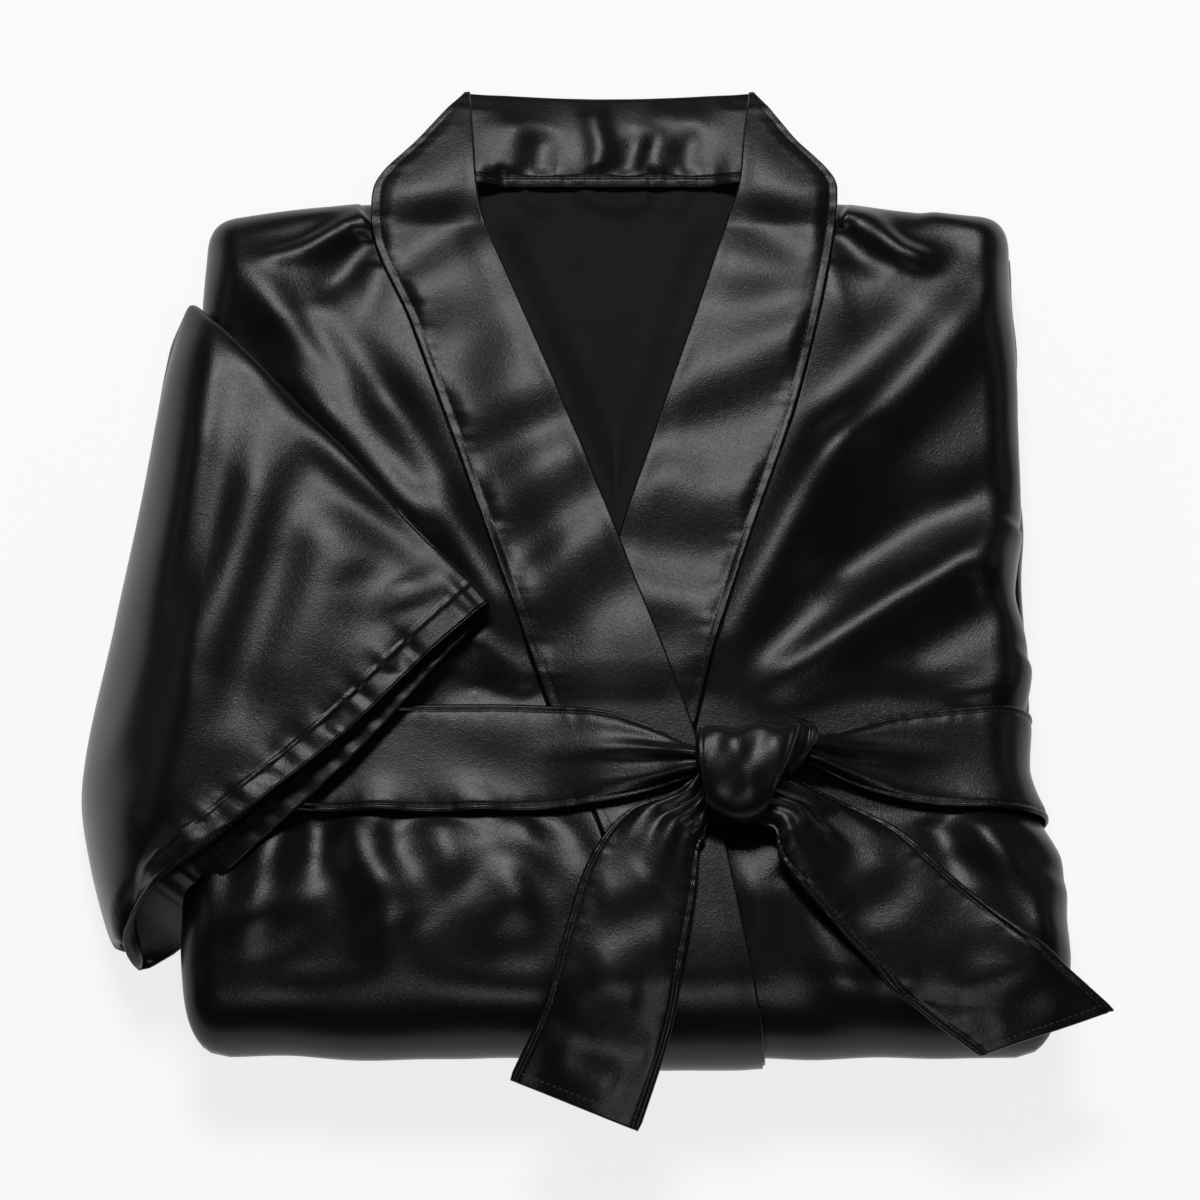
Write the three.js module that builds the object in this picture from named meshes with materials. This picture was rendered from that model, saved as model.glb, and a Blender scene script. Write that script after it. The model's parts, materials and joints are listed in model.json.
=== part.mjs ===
// A satin kimono robe folded into a flat packet, the right sleeve laid across the front
// and the robe's own belt tied in a knot. Millimetres; +X right, +Y to the collar, +Z up.
// Left and right in the node names are the wearer's, so "right" lies on the -X side.
import * as THREE from 'three';

// ---- driving dimensions ----
const CLOTH = 1.5;          // wall of a single panel
const DOUBLE = 2.2;         // neckband and belt, cloth folded double
const GAP = 1.7;            // air between layers that are cut on different grids
const SEAM_GAP = 0.8;       // air between two pieces along their seam
const SIDE_ROLL = 17;       // how far in from a side the fold starts to turn down
const BACK_ROLL = 18;       // the same at the shoulder fold
const FRONT_ROLL = 31;      // the same at the thick bottom fold
const CORNER_POWER = 3;     // 2 would round a corner as a circle, more is squarer
const OVERLAP_RISE = 3.4;   // the right front lies this much above the left one
const V_DEPTH = 3.2;        // the back panel's sag inside the neck opening
const TUCK = 12;            // what goes on out of sight under the piece above
const BELT_LIFT = 1.2;      // air under the belt
const SLEEVE_WALL = 1.5;
const HEM_BAND = 11.5;      // depth of the sleeve's turned hem

// The packet's outline seen from above: its two sides down the length ...
const SIDES = [
  { y: -221, left: -181, right: 201 },
  { y: -200, left: -184, right: 206 },
  { y: -174, left: -185, right: 208 },
  { y: -135, left: -186, right: 207 },
  { y: -112, left: -184, right: 198 },
  { y: -85, left: -184, right: 190 },
  { y: -55, left: -186, right: 193 },
  { y: -30, left: -187, right: 195 },
  { y: 5, left: -187, right: 190 },
  { y: 40, left: -187, right: 194 },
  { y: 120, left: -187, right: 195 },
  { y: 203, left: -187, right: 194 },
];
// ... and its shoulder fold and bottom fold across the width.
const ENDS = [
  { x: -190, shoulder: 194, bottom: -217 },
  { x: -142, shoulder: 200, bottom: -219 },
  { x: -105, shoulder: 203, bottom: -220 },
  { x: 0, shoulder: 204, bottom: -221 },
  { x: 110, shoulder: 203, bottom: -220 },
  { x: 145, shoulder: 200, bottom: -219 },
  { x: 205, shoulder: 195, bottom: -217 },
];
// Height of the cloth above the floor along the middle, and how much of that the
// sides lose; drop is how far the fold falls before it turns back under.
const CROWN = [
  { y: -221, height: 57, sideLoss: 4 },
  { y: -170, height: 59, sideLoss: 3 },
  { y: -134, height: 58.5, sideLoss: 4 },
  { y: -112, height: 55.5, sideLoss: 6 },
  { y: -64, height: 55.5, sideLoss: 6 },
  { y: -42, height: 57, sideLoss: 4 },
  { y: 60, height: 56, sideLoss: 3 },
  { y: 150, height: 53, sideLoss: 3 },
  { y: 204, height: 48, sideLoss: 2 },
];
const SIDE_DROP = 16;
const BACK_DROP = 13;
const FRONT_DROP = 27;

// The largest folds: soft ridges (positive rise) and troughs between two points.
const FOLDS = [
  { name: 'right front, upper run', x0: -165, y0: 158, x1: -100, y1: 82, width: 17, rise: 4.5 },
  { name: 'right front, lower run', x0: -100, y0: 82, x1: -48, y1: -10, width: 13, rise: 4.5 },
  { name: 'right front, trough', x0: -141, y0: 139, x1: -84, y1: 50, width: 9, rise: -2.0 },
  { name: 'right front, second ridge', x0: -140, y0: 98, x1: -86, y1: 30, width: 9, rise: 2.5 },
  { name: 'right shoulder crease', x0: -112, y0: 184, x1: -150, y1: 168, width: 6, rise: 2.2 },
  { name: 'left front, upper run', x0: 182, y0: 147, x1: 110, y1: 64, width: 17, rise: 4.5 },
  { name: 'left front, lower run', x0: 110, y0: 64, x1: 60, y1: -28, width: 14, rise: 4.5 },
  { name: 'left front, waist ridge', x0: 178, y0: 14, x1: 86, y1: -48, width: 12, rise: 4.0 },
  { name: 'left front, waist trough', x0: 186, y0: 50, x1: 110, y1: 8, width: 12, rise: -2.5 },
  { name: 'left shoulder crease', x0: 118, y0: 186, x1: 148, y1: 166, width: 6, rise: 2.2 },
  { name: 'skirt gather 1', x0: -146, y0: -124, x1: -152, y1: -165, width: 12, rise: 3.2 },
  { name: 'skirt gather 2', x0: -98, y0: -122, x1: -92, y1: -172, width: 12, rise: 3.5 },
  { name: 'skirt gather 3', x0: -52, y0: -122, x1: -34, y1: -160, width: 11, rise: 3.0 },
  { name: 'skirt gather 4', x0: 84, y0: -140, x1: 104, y1: -190, width: 12, rise: 3.0 },
  { name: 'skirt gather 5', x0: 176, y0: -128, x1: 190, y1: -168, width: 13, rise: 4.0 },
];

// Neckband, right side: from the collar fold round the neck, down over the left front
// and on below the belt to the bottom fold. outer is its seam, inner its free edge.
const RIGHT_BAND = [
  { y: 262, outerX: -64.6, innerX: -63.4 },
  { y: 235, outerX: -84.4, innerX: -61.4 },
  { y: 204, outerX: -106.8, innerX: -59 },
  { y: 190, outerX: -107.6, innerX: -56.5 },
  { y: 130, outerX: -87, innerX: -34 },
  { y: 62, outerX: -64, innerX: -8 },
  { y: 0, outerX: -43.5, innerX: 14.5 },
  { y: -75, outerX: -18, innerX: 41 },
  { y: -128, outerX: 2.5, innerX: 54 },
  { y: -170, outerX: 12, innerX: 62 },
  { y: -222, outerX: 20, innerX: 72 },
];
// Neckband, left side: it goes under the right one where the two cross.
const LEFT_BAND = [
  { y: 262, outerX: 73.6, innerX: 72.4 },
  { y: 235, outerX: 91, innerX: 69.4 },
  { y: 204, outerX: 111.8, innerX: 66 },
  { y: 190, outerX: 111, innerX: 61.8 },
  { y: 98, outerX: 92.5, innerX: 33.4 },
  { y: 16, outerX: 66.5, innerX: 8.2 },
  { y: -3, outerX: 60.6, innerX: 3.2 },
  { y: -40, outerX: 49.6, innerX: 17.5 },
  { y: -74, outerX: 41.5, innerX: 30 },
];
const COLLAR = { seamY: 208.5, topY: 262.5, seamLeft: -57, seamRight: 65, topLeft: -64, topRight: 73,
  leaveY: 184, seamZ: 48.5, topZ: 41 };

// The sleeve is a flattened tube that comes from behind the packet's right side, turns
// up along its turn edge and crosses the front to the cuff. The rows go from the low
// corner of the cuff (at 0) to the sleeve's upper fold (at 1).
const SLEEVE_TURN = [
  { at: 0.00, x: -216, y: -164, z: 15 },
  { at: 0.12, x: -226, y: -126, z: 12 },
  { at: 0.26, x: -233, y: -86, z: 11 },
  { at: 0.50, x: -220, y: -12, z: 21 },
  { at: 0.78, x: -205, y: 76, z: 35 },
  { at: 1.00, x: -194, y: 144, z: 46 },
];
const SLEEVE_HEM = [
  { at: 0.00, x: -213, y: -170, z: 12, lipX: 3, lipY: -3, mouth: 5 },
  { at: 0.06, x: -208, y: -158, z: 38, lipX: 6, lipY: -9, mouth: 17 },
  { at: 0.16, x: -194, y: -147, z: 57, lipX: 9, lipY: -12, mouth: 15 },
  { at: 0.32, x: -164, y: -126, z: 67.5, lipX: 9, lipY: -12, mouth: 9.5 },
  { at: 0.55, x: -117, y: -86, z: 69, lipX: 6, lipY: -9, mouth: 6 },
  { at: 0.80, x: -77, y: -44, z: 69, lipX: 3, lipY: -6, mouth: 5.5 },
  { at: 1.00, x: -51, y: -18, z: 66, lipX: 0, lipY: 0, mouth: 5 },
];
const SLEEVE_UPPER_FOLD = [
  { at: 0.00, x: -194, y: 144, z: 46 },
  { at: 0.15, x: -178, y: 124, z: 60 },
  { at: 0.40, x: -141, y: 82, z: 64 },
  { at: 0.70, x: -97, y: 34, z: 66 },
  { at: 1.00, x: -51, y: -18, z: 66 },
];
const SLEEVE_TUBE = 5.2;     // outside thickness of the flattened tube on the packet
const SLEEVE_TUCK = { x: -191.5, z: 4.2, bulge: 3 };   // where it goes on under the packet
const SLEEVE_FOLDS = [
  { name: 'from the top corner', x0: -186, y0: 80, x1: -212, y1: -70, width: 14, rise: 3.0 },
  { name: 'middle', x0: -150, y0: 50, x1: -176, y1: -60, width: 13, rise: 2.5 },
  { name: 'along the upper fold', x0: -145, y0: 60, x1: -72, y1: -2, width: 9, rise: 1.8 },
];

// Belt, each stretch by its two long edges from the packet's side to the knot.
const BELT_RIGHT_STRETCH = [
  { x: -184, upperY: -64, lowerY: -112, arch: 0 },
  { x: -128, upperY: -65, lowerY: -115, arch: 0 },
  { x: -54, upperY: -64.5, lowerY: -116, arch: 0 },
  { x: -18, upperY: -66, lowerY: -114.5, arch: 0.6 },
  { x: 9, upperY: -70.5, lowerY: -111, arch: 2.5 },
  { x: 26, upperY: -78, lowerY: -106.5, arch: 5.5 },
  { x: 41, upperY: -87.5, lowerY: -101, arch: 8.5 },
];
const BELT_LEFT_STRETCH = [
  { x: 98, upperY: -80, lowerY: -96, arch: 8 },
  { x: 108, upperY: -76.5, lowerY: -101, arch: 5.5 },
  { x: 126, upperY: -70.5, lowerY: -107.5, arch: 2.5 },
  { x: 152, upperY: -66, lowerY: -112, arch: 0.6 },
  { x: 178, upperY: -62.5, lowerY: -113, arch: 0 },
  { x: 192, upperY: -61, lowerY: -112, arch: 0 },
];
const KNOT = { x: 66, y: -101.5, halfWidth: 24, halfLength: 22.5, base: 7, height: 21, squareness: 2.8 };
const KNOT_TURN = { x: 94.6, y: -85, halfWidth: 4.0, halfLength: 8.5, base: 8.0, height: 13, squareness: 2.3 };

// Tails, from the knot to the slanted end; lift is the height above what they lie on.
const TAIL_RIGHT = [
  { at: 0.00, ax: 37, ay: -106, bx: 50, by: -129, lift: 2.5, arch: 5 },
  { at: 0.08, ax: 28, ay: -110.5, bx: 46.5, by: -132, lift: 1.5, arch: 5 },
  { at: 0.22, ax: 14, ay: -117, bx: 44, by: -136, lift: 0.8, arch: 4 },
  { at: 0.42, ax: -3, ay: -138, bx: 42, by: -155, lift: 0.8, arch: 2 },
  { at: 0.65, ax: -14, ay: -169, bx: 37, by: -184, lift: 0.8, arch: 0.8 },
  { at: 0.84, ax: -24, ay: -204, bx: 30, by: -217, lift: 1.5, arch: 0.3 },
  { at: 1.00, ax: -38.5, ay: -228, bx: 17, by: -249, lift: 1.5, arch: 0 },
];
const TAIL_LEFT = [
  { at: 0.00, ax: 78, ay: -131.5, bx: 97, by: -107, lift: 2.5, arch: 5 },
  { at: 0.08, ax: 79, ay: -137, bx: 104, by: -110, lift: 1.5, arch: 5 },
  { at: 0.20, ax: 81, ay: -143, bx: 113, by: -114, lift: 0.8, arch: 4 },
  { at: 0.38, ax: 93, ay: -160, bx: 134, by: -127, lift: 0.8, arch: 2 },
  { at: 0.62, ax: 113, ay: -183, bx: 159, by: -151, lift: 0.8, arch: 0.8 },
  { at: 0.82, ax: 140, ay: -208, bx: 193, by: -179, lift: 2.2, arch: 0.3 },
  { at: 1.00, ax: 165, ay: -226, bx: 224, by: -204, lift: 1.5, arch: 0 },
];
// How low each corner of a tail's end hangs.
const TAIL_DROOP = { right: { az: 30, bz: 18 }, left: { az: 40, bz: 38 } };

// The panels turn back under below the widest line: at a side in a tight fold, at the
// bottom in one big roll that goes on to the floor.
const SIDE_TURN = [
  { inset: 0.6, drop: 4 }, { inset: 2.2, drop: 7.5 }, { inset: 4.8, drop: 10 }, { inset: 8.5, drop: 11.5 },
];
const FRONT_TURN_RADIUS = 27;
const FRONT_TURN_ANGLES = [20, 42, 62, 80];
const FRONT_TURN_END = 4.8;   // height above the floor where the turned panels end
// Hidden folded layers below that, as bulges in the side of the packet.
const LAYER_BULGES = [
  { height: 0.97, inset: 13 }, { height: 0.84, inset: 4.5 }, { height: 0.66, inset: 2.4 },
  { height: 0.46, inset: 9 }, { height: 0.34, inset: 3.2 }, { height: 0.13, inset: 1.6 },
  { height: 0, inset: 5.5 },
];

// The other sleeve lies folded behind; its fold shows as one more layer down the side.
const LEFT_SLEEVE_FOLD = [
  { height: 0.93, inset: 3.5 }, { height: 0.91, inset: 0.8 }, { height: 0.82, inset: -1.2 },
  { height: 0.67, inset: -2 }, { height: 0.52, inset: -1.4 }, { height: 0.43, inset: 0.6 },
  { height: 0.40, inset: 2.8 },
];
const LEFT_SLEEVE_SPAN = { fromY: 184, toY: -62 };

// ---- reading the tables ----
const mix = (a, b, t) => a + (b - a) * t;
const clamp01 = (t) => Math.min(1, Math.max(0, t));
const smooth = (a, b, t) => { const s = clamp01((t - a) / (b - a)); return s * s * (3 - 2 * s); };

// Value of one column at a place along another, as a curve through every row.
function readTable(rows, along, column, place) {
  const ordered = rows[0][along] < rows[rows.length - 1][along] ? rows : [...rows].reverse();
  const last = ordered.length - 1;
  if (place <= ordered[0][along]) return ordered[0][column];
  if (place >= ordered[last][along]) return ordered[last][column];
  let k = 0;
  while (place > ordered[k + 1][along]) k += 1;
  const slope = (i, j) => (ordered[j][column] - ordered[i][column]) / (ordered[j][along] - ordered[i][along]);
  const here = slope(k, k + 1);
  const limited = (other) => (here * other <= 0 ? 0 : Math.sign(here) * Math.min(Math.abs(here + other) / 2,
    3 * Math.abs(here), 3 * Math.abs(other)));
  const startSlope = k > 0 ? limited(slope(k - 1, k)) : here;
  const endSlope = k < last - 1 ? limited(slope(k + 1, k + 2)) : here;
  const span = ordered[k + 1][along] - ordered[k][along];
  const t = (place - ordered[k][along]) / span;
  const t2 = t * t;
  const t3 = t2 * t;
  return (2 * t3 - 3 * t2 + 1) * ordered[k][column] + (t3 - 2 * t2 + t) * span * startSlope
    + (3 * t2 - 2 * t3) * ordered[k + 1][column] + (t3 - t2) * span * endSlope;
}

// ---- the packet's top surface ----
function foldHeight(folds, x, y) {
  let total = 0;
  for (const fold of folds) {
    const dx = fold.x1 - fold.x0;
    const dy = fold.y1 - fold.y0;
    const length = Math.hypot(dx, dy);
    const t = ((x - fold.x0) * dx + (y - fold.y0) * dy) / (length * length);
    const across = ((x - fold.x0) * dy - (y - fold.y0) * dx) / length;
    const beyond = Math.max(0, -t, t - 1) * length;
    total += fold.rise * Math.exp(-((across / fold.width) ** 2) - (beyond / (1.6 * fold.width)) ** 2);
  }
  return total;
}

function outlineAt(x, y) {
  return {
    left: readTable(SIDES, 'y', 'left', y), right: readTable(SIDES, 'y', 'right', y),
    shoulder: readTable(ENDS, 'x', 'shoulder', x), bottom: readTable(ENDS, 'x', 'bottom', x),
  };
}

// How far a place lies into the turned-down edges: 0 on the flat, 1 on the outline.
function edgeTurn(x, y) {
  const edge = outlineAt(x, y);
  const side = clamp01(1 - Math.min(x - edge.left, edge.right - x) / SIDE_ROLL);
  const back = clamp01(1 - (edge.shoulder - y) / BACK_ROLL);
  const front = clamp01(1 - (y - edge.bottom) / FRONT_ROLL);
  return { side, back, front };
}

function packetHeight(x, y) {
  const middle = 5;
  const halfWidth = 190;
  const crown = readTable(CROWN, 'y', 'height', y)
    - readTable(CROWN, 'y', 'sideLoss', y) * Math.min(1, Math.abs(x - middle) / halfWidth) ** 3;
  const turn = edgeTurn(x, y);
  const side = turn.side ** CORNER_POWER;
  const back = turn.back ** CORNER_POWER;
  const front = turn.front ** CORNER_POWER;
  const sum = side + back + front;
  const level = crown + foldHeight(FOLDS, x, y) * (1 - 0.8 * clamp01(sum));
  if (sum === 0) return level;
  const drop = (side * SIDE_DROP + back * BACK_DROP + front * FRONT_DROP) / sum;
  return level - drop * (1 - Math.sqrt(Math.max(0, 1 - clamp01(sum) ** (2 / CORNER_POWER))));
}

// The right front is lifted where it lies over the left one, and below the belt.
function overlapRise(x, y) {
  const start = mix(-70, -30, smooth(120, -60, y));
  return OVERLAP_RISE * smooth(start, start + 34, x);
}

// ---- sheets: outer points and the triangles between them ----
// at(i, j) gives a point; i runs with x, j from the back to the front.
function gridSheet(columns, rows, at) {
  const points = [];
  const faces = [];
  for (let j = 0; j <= rows; j += 1) for (let i = 0; i <= columns; i += 1) points.push(at(i, j));
  const id = (i, j) => j * (columns + 1) + i;
  for (let j = 0; j < rows; j += 1) {
    for (let i = 0; i < columns; i += 1) {
      faces.push([id(i, j), id(i, j + 1), id(i + 1, j + 1)], [id(i, j), id(i + 1, j + 1), id(i + 1, j)]);
    }
  }
  return { points, faces, id, columns, rows };
}

function vertexNormals(sheet) {
  const normals = sheet.points.map(() => new THREE.Vector3());
  const ab = new THREE.Vector3();
  const ac = new THREE.Vector3();
  for (const [a, b, c] of sheet.faces) {
    ab.subVectors(sheet.points[b], sheet.points[a]);
    ac.subVectors(sheet.points[c], sheet.points[a]);
    ab.cross(ac);
    for (const k of [a, b, c]) normals[k].add(ab);
  }
  return normals.map((n) => n.normalize());
}

// The sheet moved out along its normals, by one distance or by one worked out for each point.
function movedOut(sheet, distance) {
  const distanceAt = typeof distance === 'function' ? distance : () => distance;
  const normals = vertexNormals(sheet);
  const points = sheet.points.map((p, k) => p.clone().addScaledVector(normals[k], distanceAt(p, k)));
  return { ...sheet, points };
}

// A closed wall of the sheet: its outer points, the inner ones and a rim round the edge.
function wall(sheet, thickness) {
  const count = sheet.points.length;
  const thicknessAt = typeof thickness === 'function' ? thickness : () => thickness;
  const normals = vertexNormals(sheet);
  const inner = sheet.points.map((p, k) => p.clone().addScaledVector(normals[k], -thicknessAt(k)));
  const faces = [...sheet.faces];
  const directed = new Set();
  for (const [a, b, c] of sheet.faces) {
    faces.push([a + count, c + count, b + count]);
    for (const [p, q] of [[a, b], [b, c], [c, a]]) directed.add(`${p},${q}`);
  }
  for (const key of directed) {
    const [a, b] = key.split(',').map(Number);
    if (!directed.has(`${b},${a}`)) faces.push([b, a, a + count], [b, a + count, b + count]);
  }
  return { points: [...sheet.points, ...inner], faces };
}

// ---- the panels over the packet ----
// Spacing of grid lines from a turned edge inwards, as parts of the roll's depth.
const ROLL_STEPS = [0, 0.12, 0.38, 0.7, 1];

// Distances from one border to the other, with the close steps of each turned edge.
function spacing(length, startRoll, endRoll, between) {
  const places = [];
  const from = startRoll || 0;
  const to = length - (endRoll || 0);
  if (startRoll) for (const s of ROLL_STEPS.slice(0, -1)) places.push(s * startRoll);
  for (let k = 0; k <= between; k += 1) places.push(mix(from, to, k / between));
  if (endRoll) for (const s of ROLL_STEPS.slice(0, -1).reverse()) places.push(length - s * endRoll);
  return places;
}

// A panel between two borders; a border given as null is the packet's own side.
function panelTop({ leftBorder, rightBorder, across, down }) {
  const along = spacing(420, BACK_ROLL, FRONT_ROLL, down);
  const wide = spacing(1000, leftBorder ? 0 : 100, rightBorder ? 0 : 100, across);
  const at = (i, j) => {
    const fromBack = along[j];
    const v = fromBack / 420;
    const nominalY = mix(203, -220, v);
    const backTurn = clamp01(1 - fromBack / BACK_ROLL);
    const frontTurn = clamp01(1 - (420 - fromBack) / FRONT_ROLL);
    const turned = backTurn ** CORNER_POWER + frontTurn ** CORNER_POWER;
    const corner = SIDE_ROLL * (1 - (1 - clamp01(turned)) ** (1 / CORNER_POWER));
    const x0 = leftBorder ? leftBorder(nominalY) : readTable(SIDES, 'y', 'left', nominalY) + corner;
    const x1 = rightBorder ? rightBorder(nominalY) : readTable(SIDES, 'y', 'right', nominalY) - corner;
    // The side columns keep the roll's own depth, the others share what is left.
    const u = wide[i];
    const rollLeft = leftBorder ? 0 : Math.max(2, SIDE_ROLL - corner);
    const rollRight = rightBorder ? 0 : Math.max(2, SIDE_ROLL - corner);
    let x;
    if (!leftBorder && u < 100) x = x0 + (u / 100) * rollLeft;
    else if (!rightBorder && u > 900) x = x1 - ((1000 - u) / 100) * rollRight;
    else {
      const a = leftBorder ? 0 : 100;
      const b = rightBorder ? 1000 : 900;
      x = mix(x0 + rollLeft, x1 - rollRight, (u - a) / (b - a));
    }
    const back = readTable(ENDS, 'x', 'shoulder', x);
    const front = readTable(ENDS, 'x', 'bottom', x);
    const y = fromBack <= 210 ? back - fromBack * (back - mix(203, -220, 0.5)) / 210
      : mix(mix(203, -220, 0.5), front, (fromBack - 210) / 210);
    return new THREE.Vector3(x, y, packetHeight(x, y));
  };
  return gridSheet(wide.length - 1, along.length - 1, at);
}

// Which border points carry the turned-back part, clockwise from above.
function turnPath(sheet, { hasLeft, hasRight }) {
  const { columns: n, rows: m, id } = sheet;
  const path = [];
  const push = (i, j) => path.push(id(i, j));
  if (hasLeft) {
    for (let i = n; i >= 0; i -= 1) push(i, m);
    for (let j = m - 1; j >= 0; j -= 1) push(0, j);
    for (let i = 1; i <= n; i += 1) push(i, 0);
    if (hasRight) for (let j = 1; j < m; j += 1) push(n, j);
  } else {
    for (let i = 0; i <= n; i += 1) push(i, 0);
    for (let j = 1; j <= m; j += 1) push(n, j);
    for (let i = n - 1; i >= 0; i -= 1) push(i, m);
  }
  return path;
}

// At each point of a turn path: the outward direction, the share of the big bottom
// roll, and how much of that roll's inset reaches the point.
function turnDirections(sheet, path, closed) {
  return path.map((index, k) => {
    const before = sheet.points[path[closed ? (k + path.length - 1) % path.length : Math.max(0, k - 1)]];
    const after = sheet.points[path[closed ? (k + 1) % path.length : Math.min(path.length - 1, k + 1)]];
    const here = sheet.points[index];
    const out = new THREE.Vector2(-(after.y - before.y), after.x - before.x).normalize();
    const fromBottom = here.y - readTable(ENDS, 'x', 'bottom', here.x);
    return { out, share: smooth(62, 18, fromBottom), reach: clamp01(1 - fromBottom / 56) ** 1.5 };
  });
}

function panelTurnRow(k, edgeZ, share) {
  const angle = THREE.MathUtils.degToRad(FRONT_TURN_ANGLES[k]);
  const deepest = Math.sin(THREE.MathUtils.degToRad(FRONT_TURN_ANGLES[FRONT_TURN_ANGLES.length - 1]));
  const frontInset = FRONT_TURN_RADIUS * (1 - Math.cos(angle));
  const frontZ = mix(edgeZ, FRONT_TURN_END, Math.sin(angle) / deepest);
  return { inset: SIDE_TURN[k].inset, frontInset, z: mix(edgeZ - SIDE_TURN[k].drop, frontZ, share) };
}

// A border point moved inwards: the sides and the shoulder fold along the outward
// direction, the bottom roll straight back from the bottom.
function turnedPoint(edge, { out, reach }, { inset, frontInset, z }) {
  const backwards = Math.max(0, out.y) * inset;
  return new THREE.Vector3(edge.x - out.x * inset, edge.y - backwards + frontInset * reach, z);
}

// Hangs the rows under a path of border points.
function addTurn(sheet, path, closed, rowCount, rowAt) {
  const directions = turnDirections(sheet, path, closed);
  let above = path;
  const rows = [];
  for (let k = 0; k < rowCount; k += 1) {
    const here = path.map((index, s) => {
      const edge = sheet.points[index];
      sheet.points.push(turnedPoint(edge, directions[s], rowAt(k, edge, directions[s])));
      return sheet.points.length - 1;
    });
    const steps = closed ? path.length : path.length - 1;
    for (let s = 0; s < steps; s += 1) {
      const next = (s + 1) % path.length;
      sheet.faces.push([above[s], above[next], here[next]], [above[s], here[next], here[s]]);
    }
    rows.push(here);
    above = here;
  }
  return rows;
}

function frontPanel(options) {
  const sheet = panelTop(options);
  const path = turnPath(sheet, { hasLeft: !options.leftBorder, hasRight: !options.rightBorder });
  addTurn(sheet, path, false, SIDE_TURN.length,
    (k, edge, { share }) => panelTurnRow(k, edge.z, share));
  return options.rise ? movedOut(sheet, (p) => options.rise(p.x, p.y)) : sheet;
}

// ---- places inside the neck opening ----
const rightOuter = (y) => readTable(RIGHT_BAND, 'y', 'outerX', y);
const rightInner = (y) => readTable(RIGHT_BAND, 'y', 'innerX', y);
const leftOuter = (y) => readTable(LEFT_BAND, 'y', 'outerX', y);
const leftInner = (y) => readTable(LEFT_BAND, 'y', 'innerX', y);

// Depth into the neck opening past both free edges, negative under the bands.
const intoOpening = (x, y) => Math.min(x - rightInner(y), leftInner(y) - x);

function openingSag(x, y) {
  const depth = intoOpening(x, y);
  const front = y > -40 ? 1 : 0;
  return front * (2.8 * smooth(-24, -15, depth) + V_DEPTH * smooth(2, 22, depth));
}

// ---- sub-parts ----
function foldedLayers() {
  const top = panelTop({ across: 17, down: 18, leftBorder: null, rightBorder: null });
  const path = turnPath(top, { hasLeft: true, hasRight: true });
  // The closed loop starts again at its first point, so that one isn't repeated.
  addTurn(top, path, true, SIDE_TURN.length, (k, edge, { share }) => panelTurnRow(k, edge.z, share));
  const spare = CLOTH + GAP;
  const inner = movedOut(top, -spare);
  const kept = top.rows * (top.columns + 1) + top.columns + 1;
  const points = inner.points.slice(0, kept);
  points.forEach((p) => { p.z -= 0.7 + 1.3 * openingSag(p.x, p.y); });
  const faces = top.faces.filter((f) => f.every((v) => v < kept));
  const turned = { ...top, points, faces };
  const directions = turnDirections(top, path, true);
  // The first rows follow the panel's turn; below its end come the hidden layers.
  const upper = SIDE_TURN.length - 1;
  let above = path;
  const rows = upper + LAYER_BULGES.length;
  for (let k = 0; k < rows; k += 1) {
    const here = path.map((index, s) => {
      const edge = top.points[index];
      const { share } = directions[s];
      const end = panelTurnRow(upper, edge.z, share);
      const row = k < upper ? panelTurnRow(k, edge.z, share) : { ...end };
      if (k < upper) {
        row.inset += spare + 0.8 * k;
        row.frontInset += spare;
    row.z += 0.9 * k;
      } else {
        const bulge = LAYER_BULGES[k - upper];
        row.z = bulge.height * (end.z - 0.4);
        row.inset = k === upper ? end.inset + spare + 2 : mix(bulge.inset, end.inset + spare + 2, share);
        row.frontInset += spare + 2;
      }
      points.push(turnedPoint(edge, directions[s], row));
      return points.length - 1;
    });
    for (let s = 0; s < path.length; s += 1) {
      const next = (s + 1) % path.length;
      faces.push([above[s], above[next], here[next]], [above[s], here[next], here[s]]);
    }
    above = here;
  }
  // The flat underside: a fan inside the lowest row.
  const middle = points.length;
  points.push(new THREE.Vector3(5, -5, 0));
  above.forEach((index, s) => faces.push([middle, index, above[(s + 1) % above.length]]));
  return turned;
}

function rightFront() {
  return wall(frontPanel({
    leftBorder: null, rightBorder: (y) => rightOuter(y) - SEAM_GAP, across: 9, down: 19, rise: overlapRise,
  }), CLOTH);
}

// The left front's free side goes under the right one along the whole opening.
function leftFront() {
  const border = (y) => mix(leftOuter(y) + SEAM_GAP, rightInner(y) - TUCK, smooth(-78, -108, y));
  return wall(frontPanel({ leftBorder: border, rightBorder: null, across: 9, down: 19 }), CLOTH);
}

// Height of a neckband: on the packet, then leaving it behind the shoulder for the collar.
function bandHeight(x, y) {
  const onPacket = packetHeight(x, Math.min(y, COLLAR.leaveY));
  if (y <= COLLAR.leaveY) return onPacket;
  const t = (y - COLLAR.leaveY) / (COLLAR.topY - COLLAR.leaveY);
  const collar = mix(COLLAR.seamZ + 4.5, COLLAR.topZ + 3.4, t ** 1.3);
  return mix(onPacket, collar, smooth(COLLAR.leaveY, COLLAR.leaveY + 22, y));
}

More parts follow.
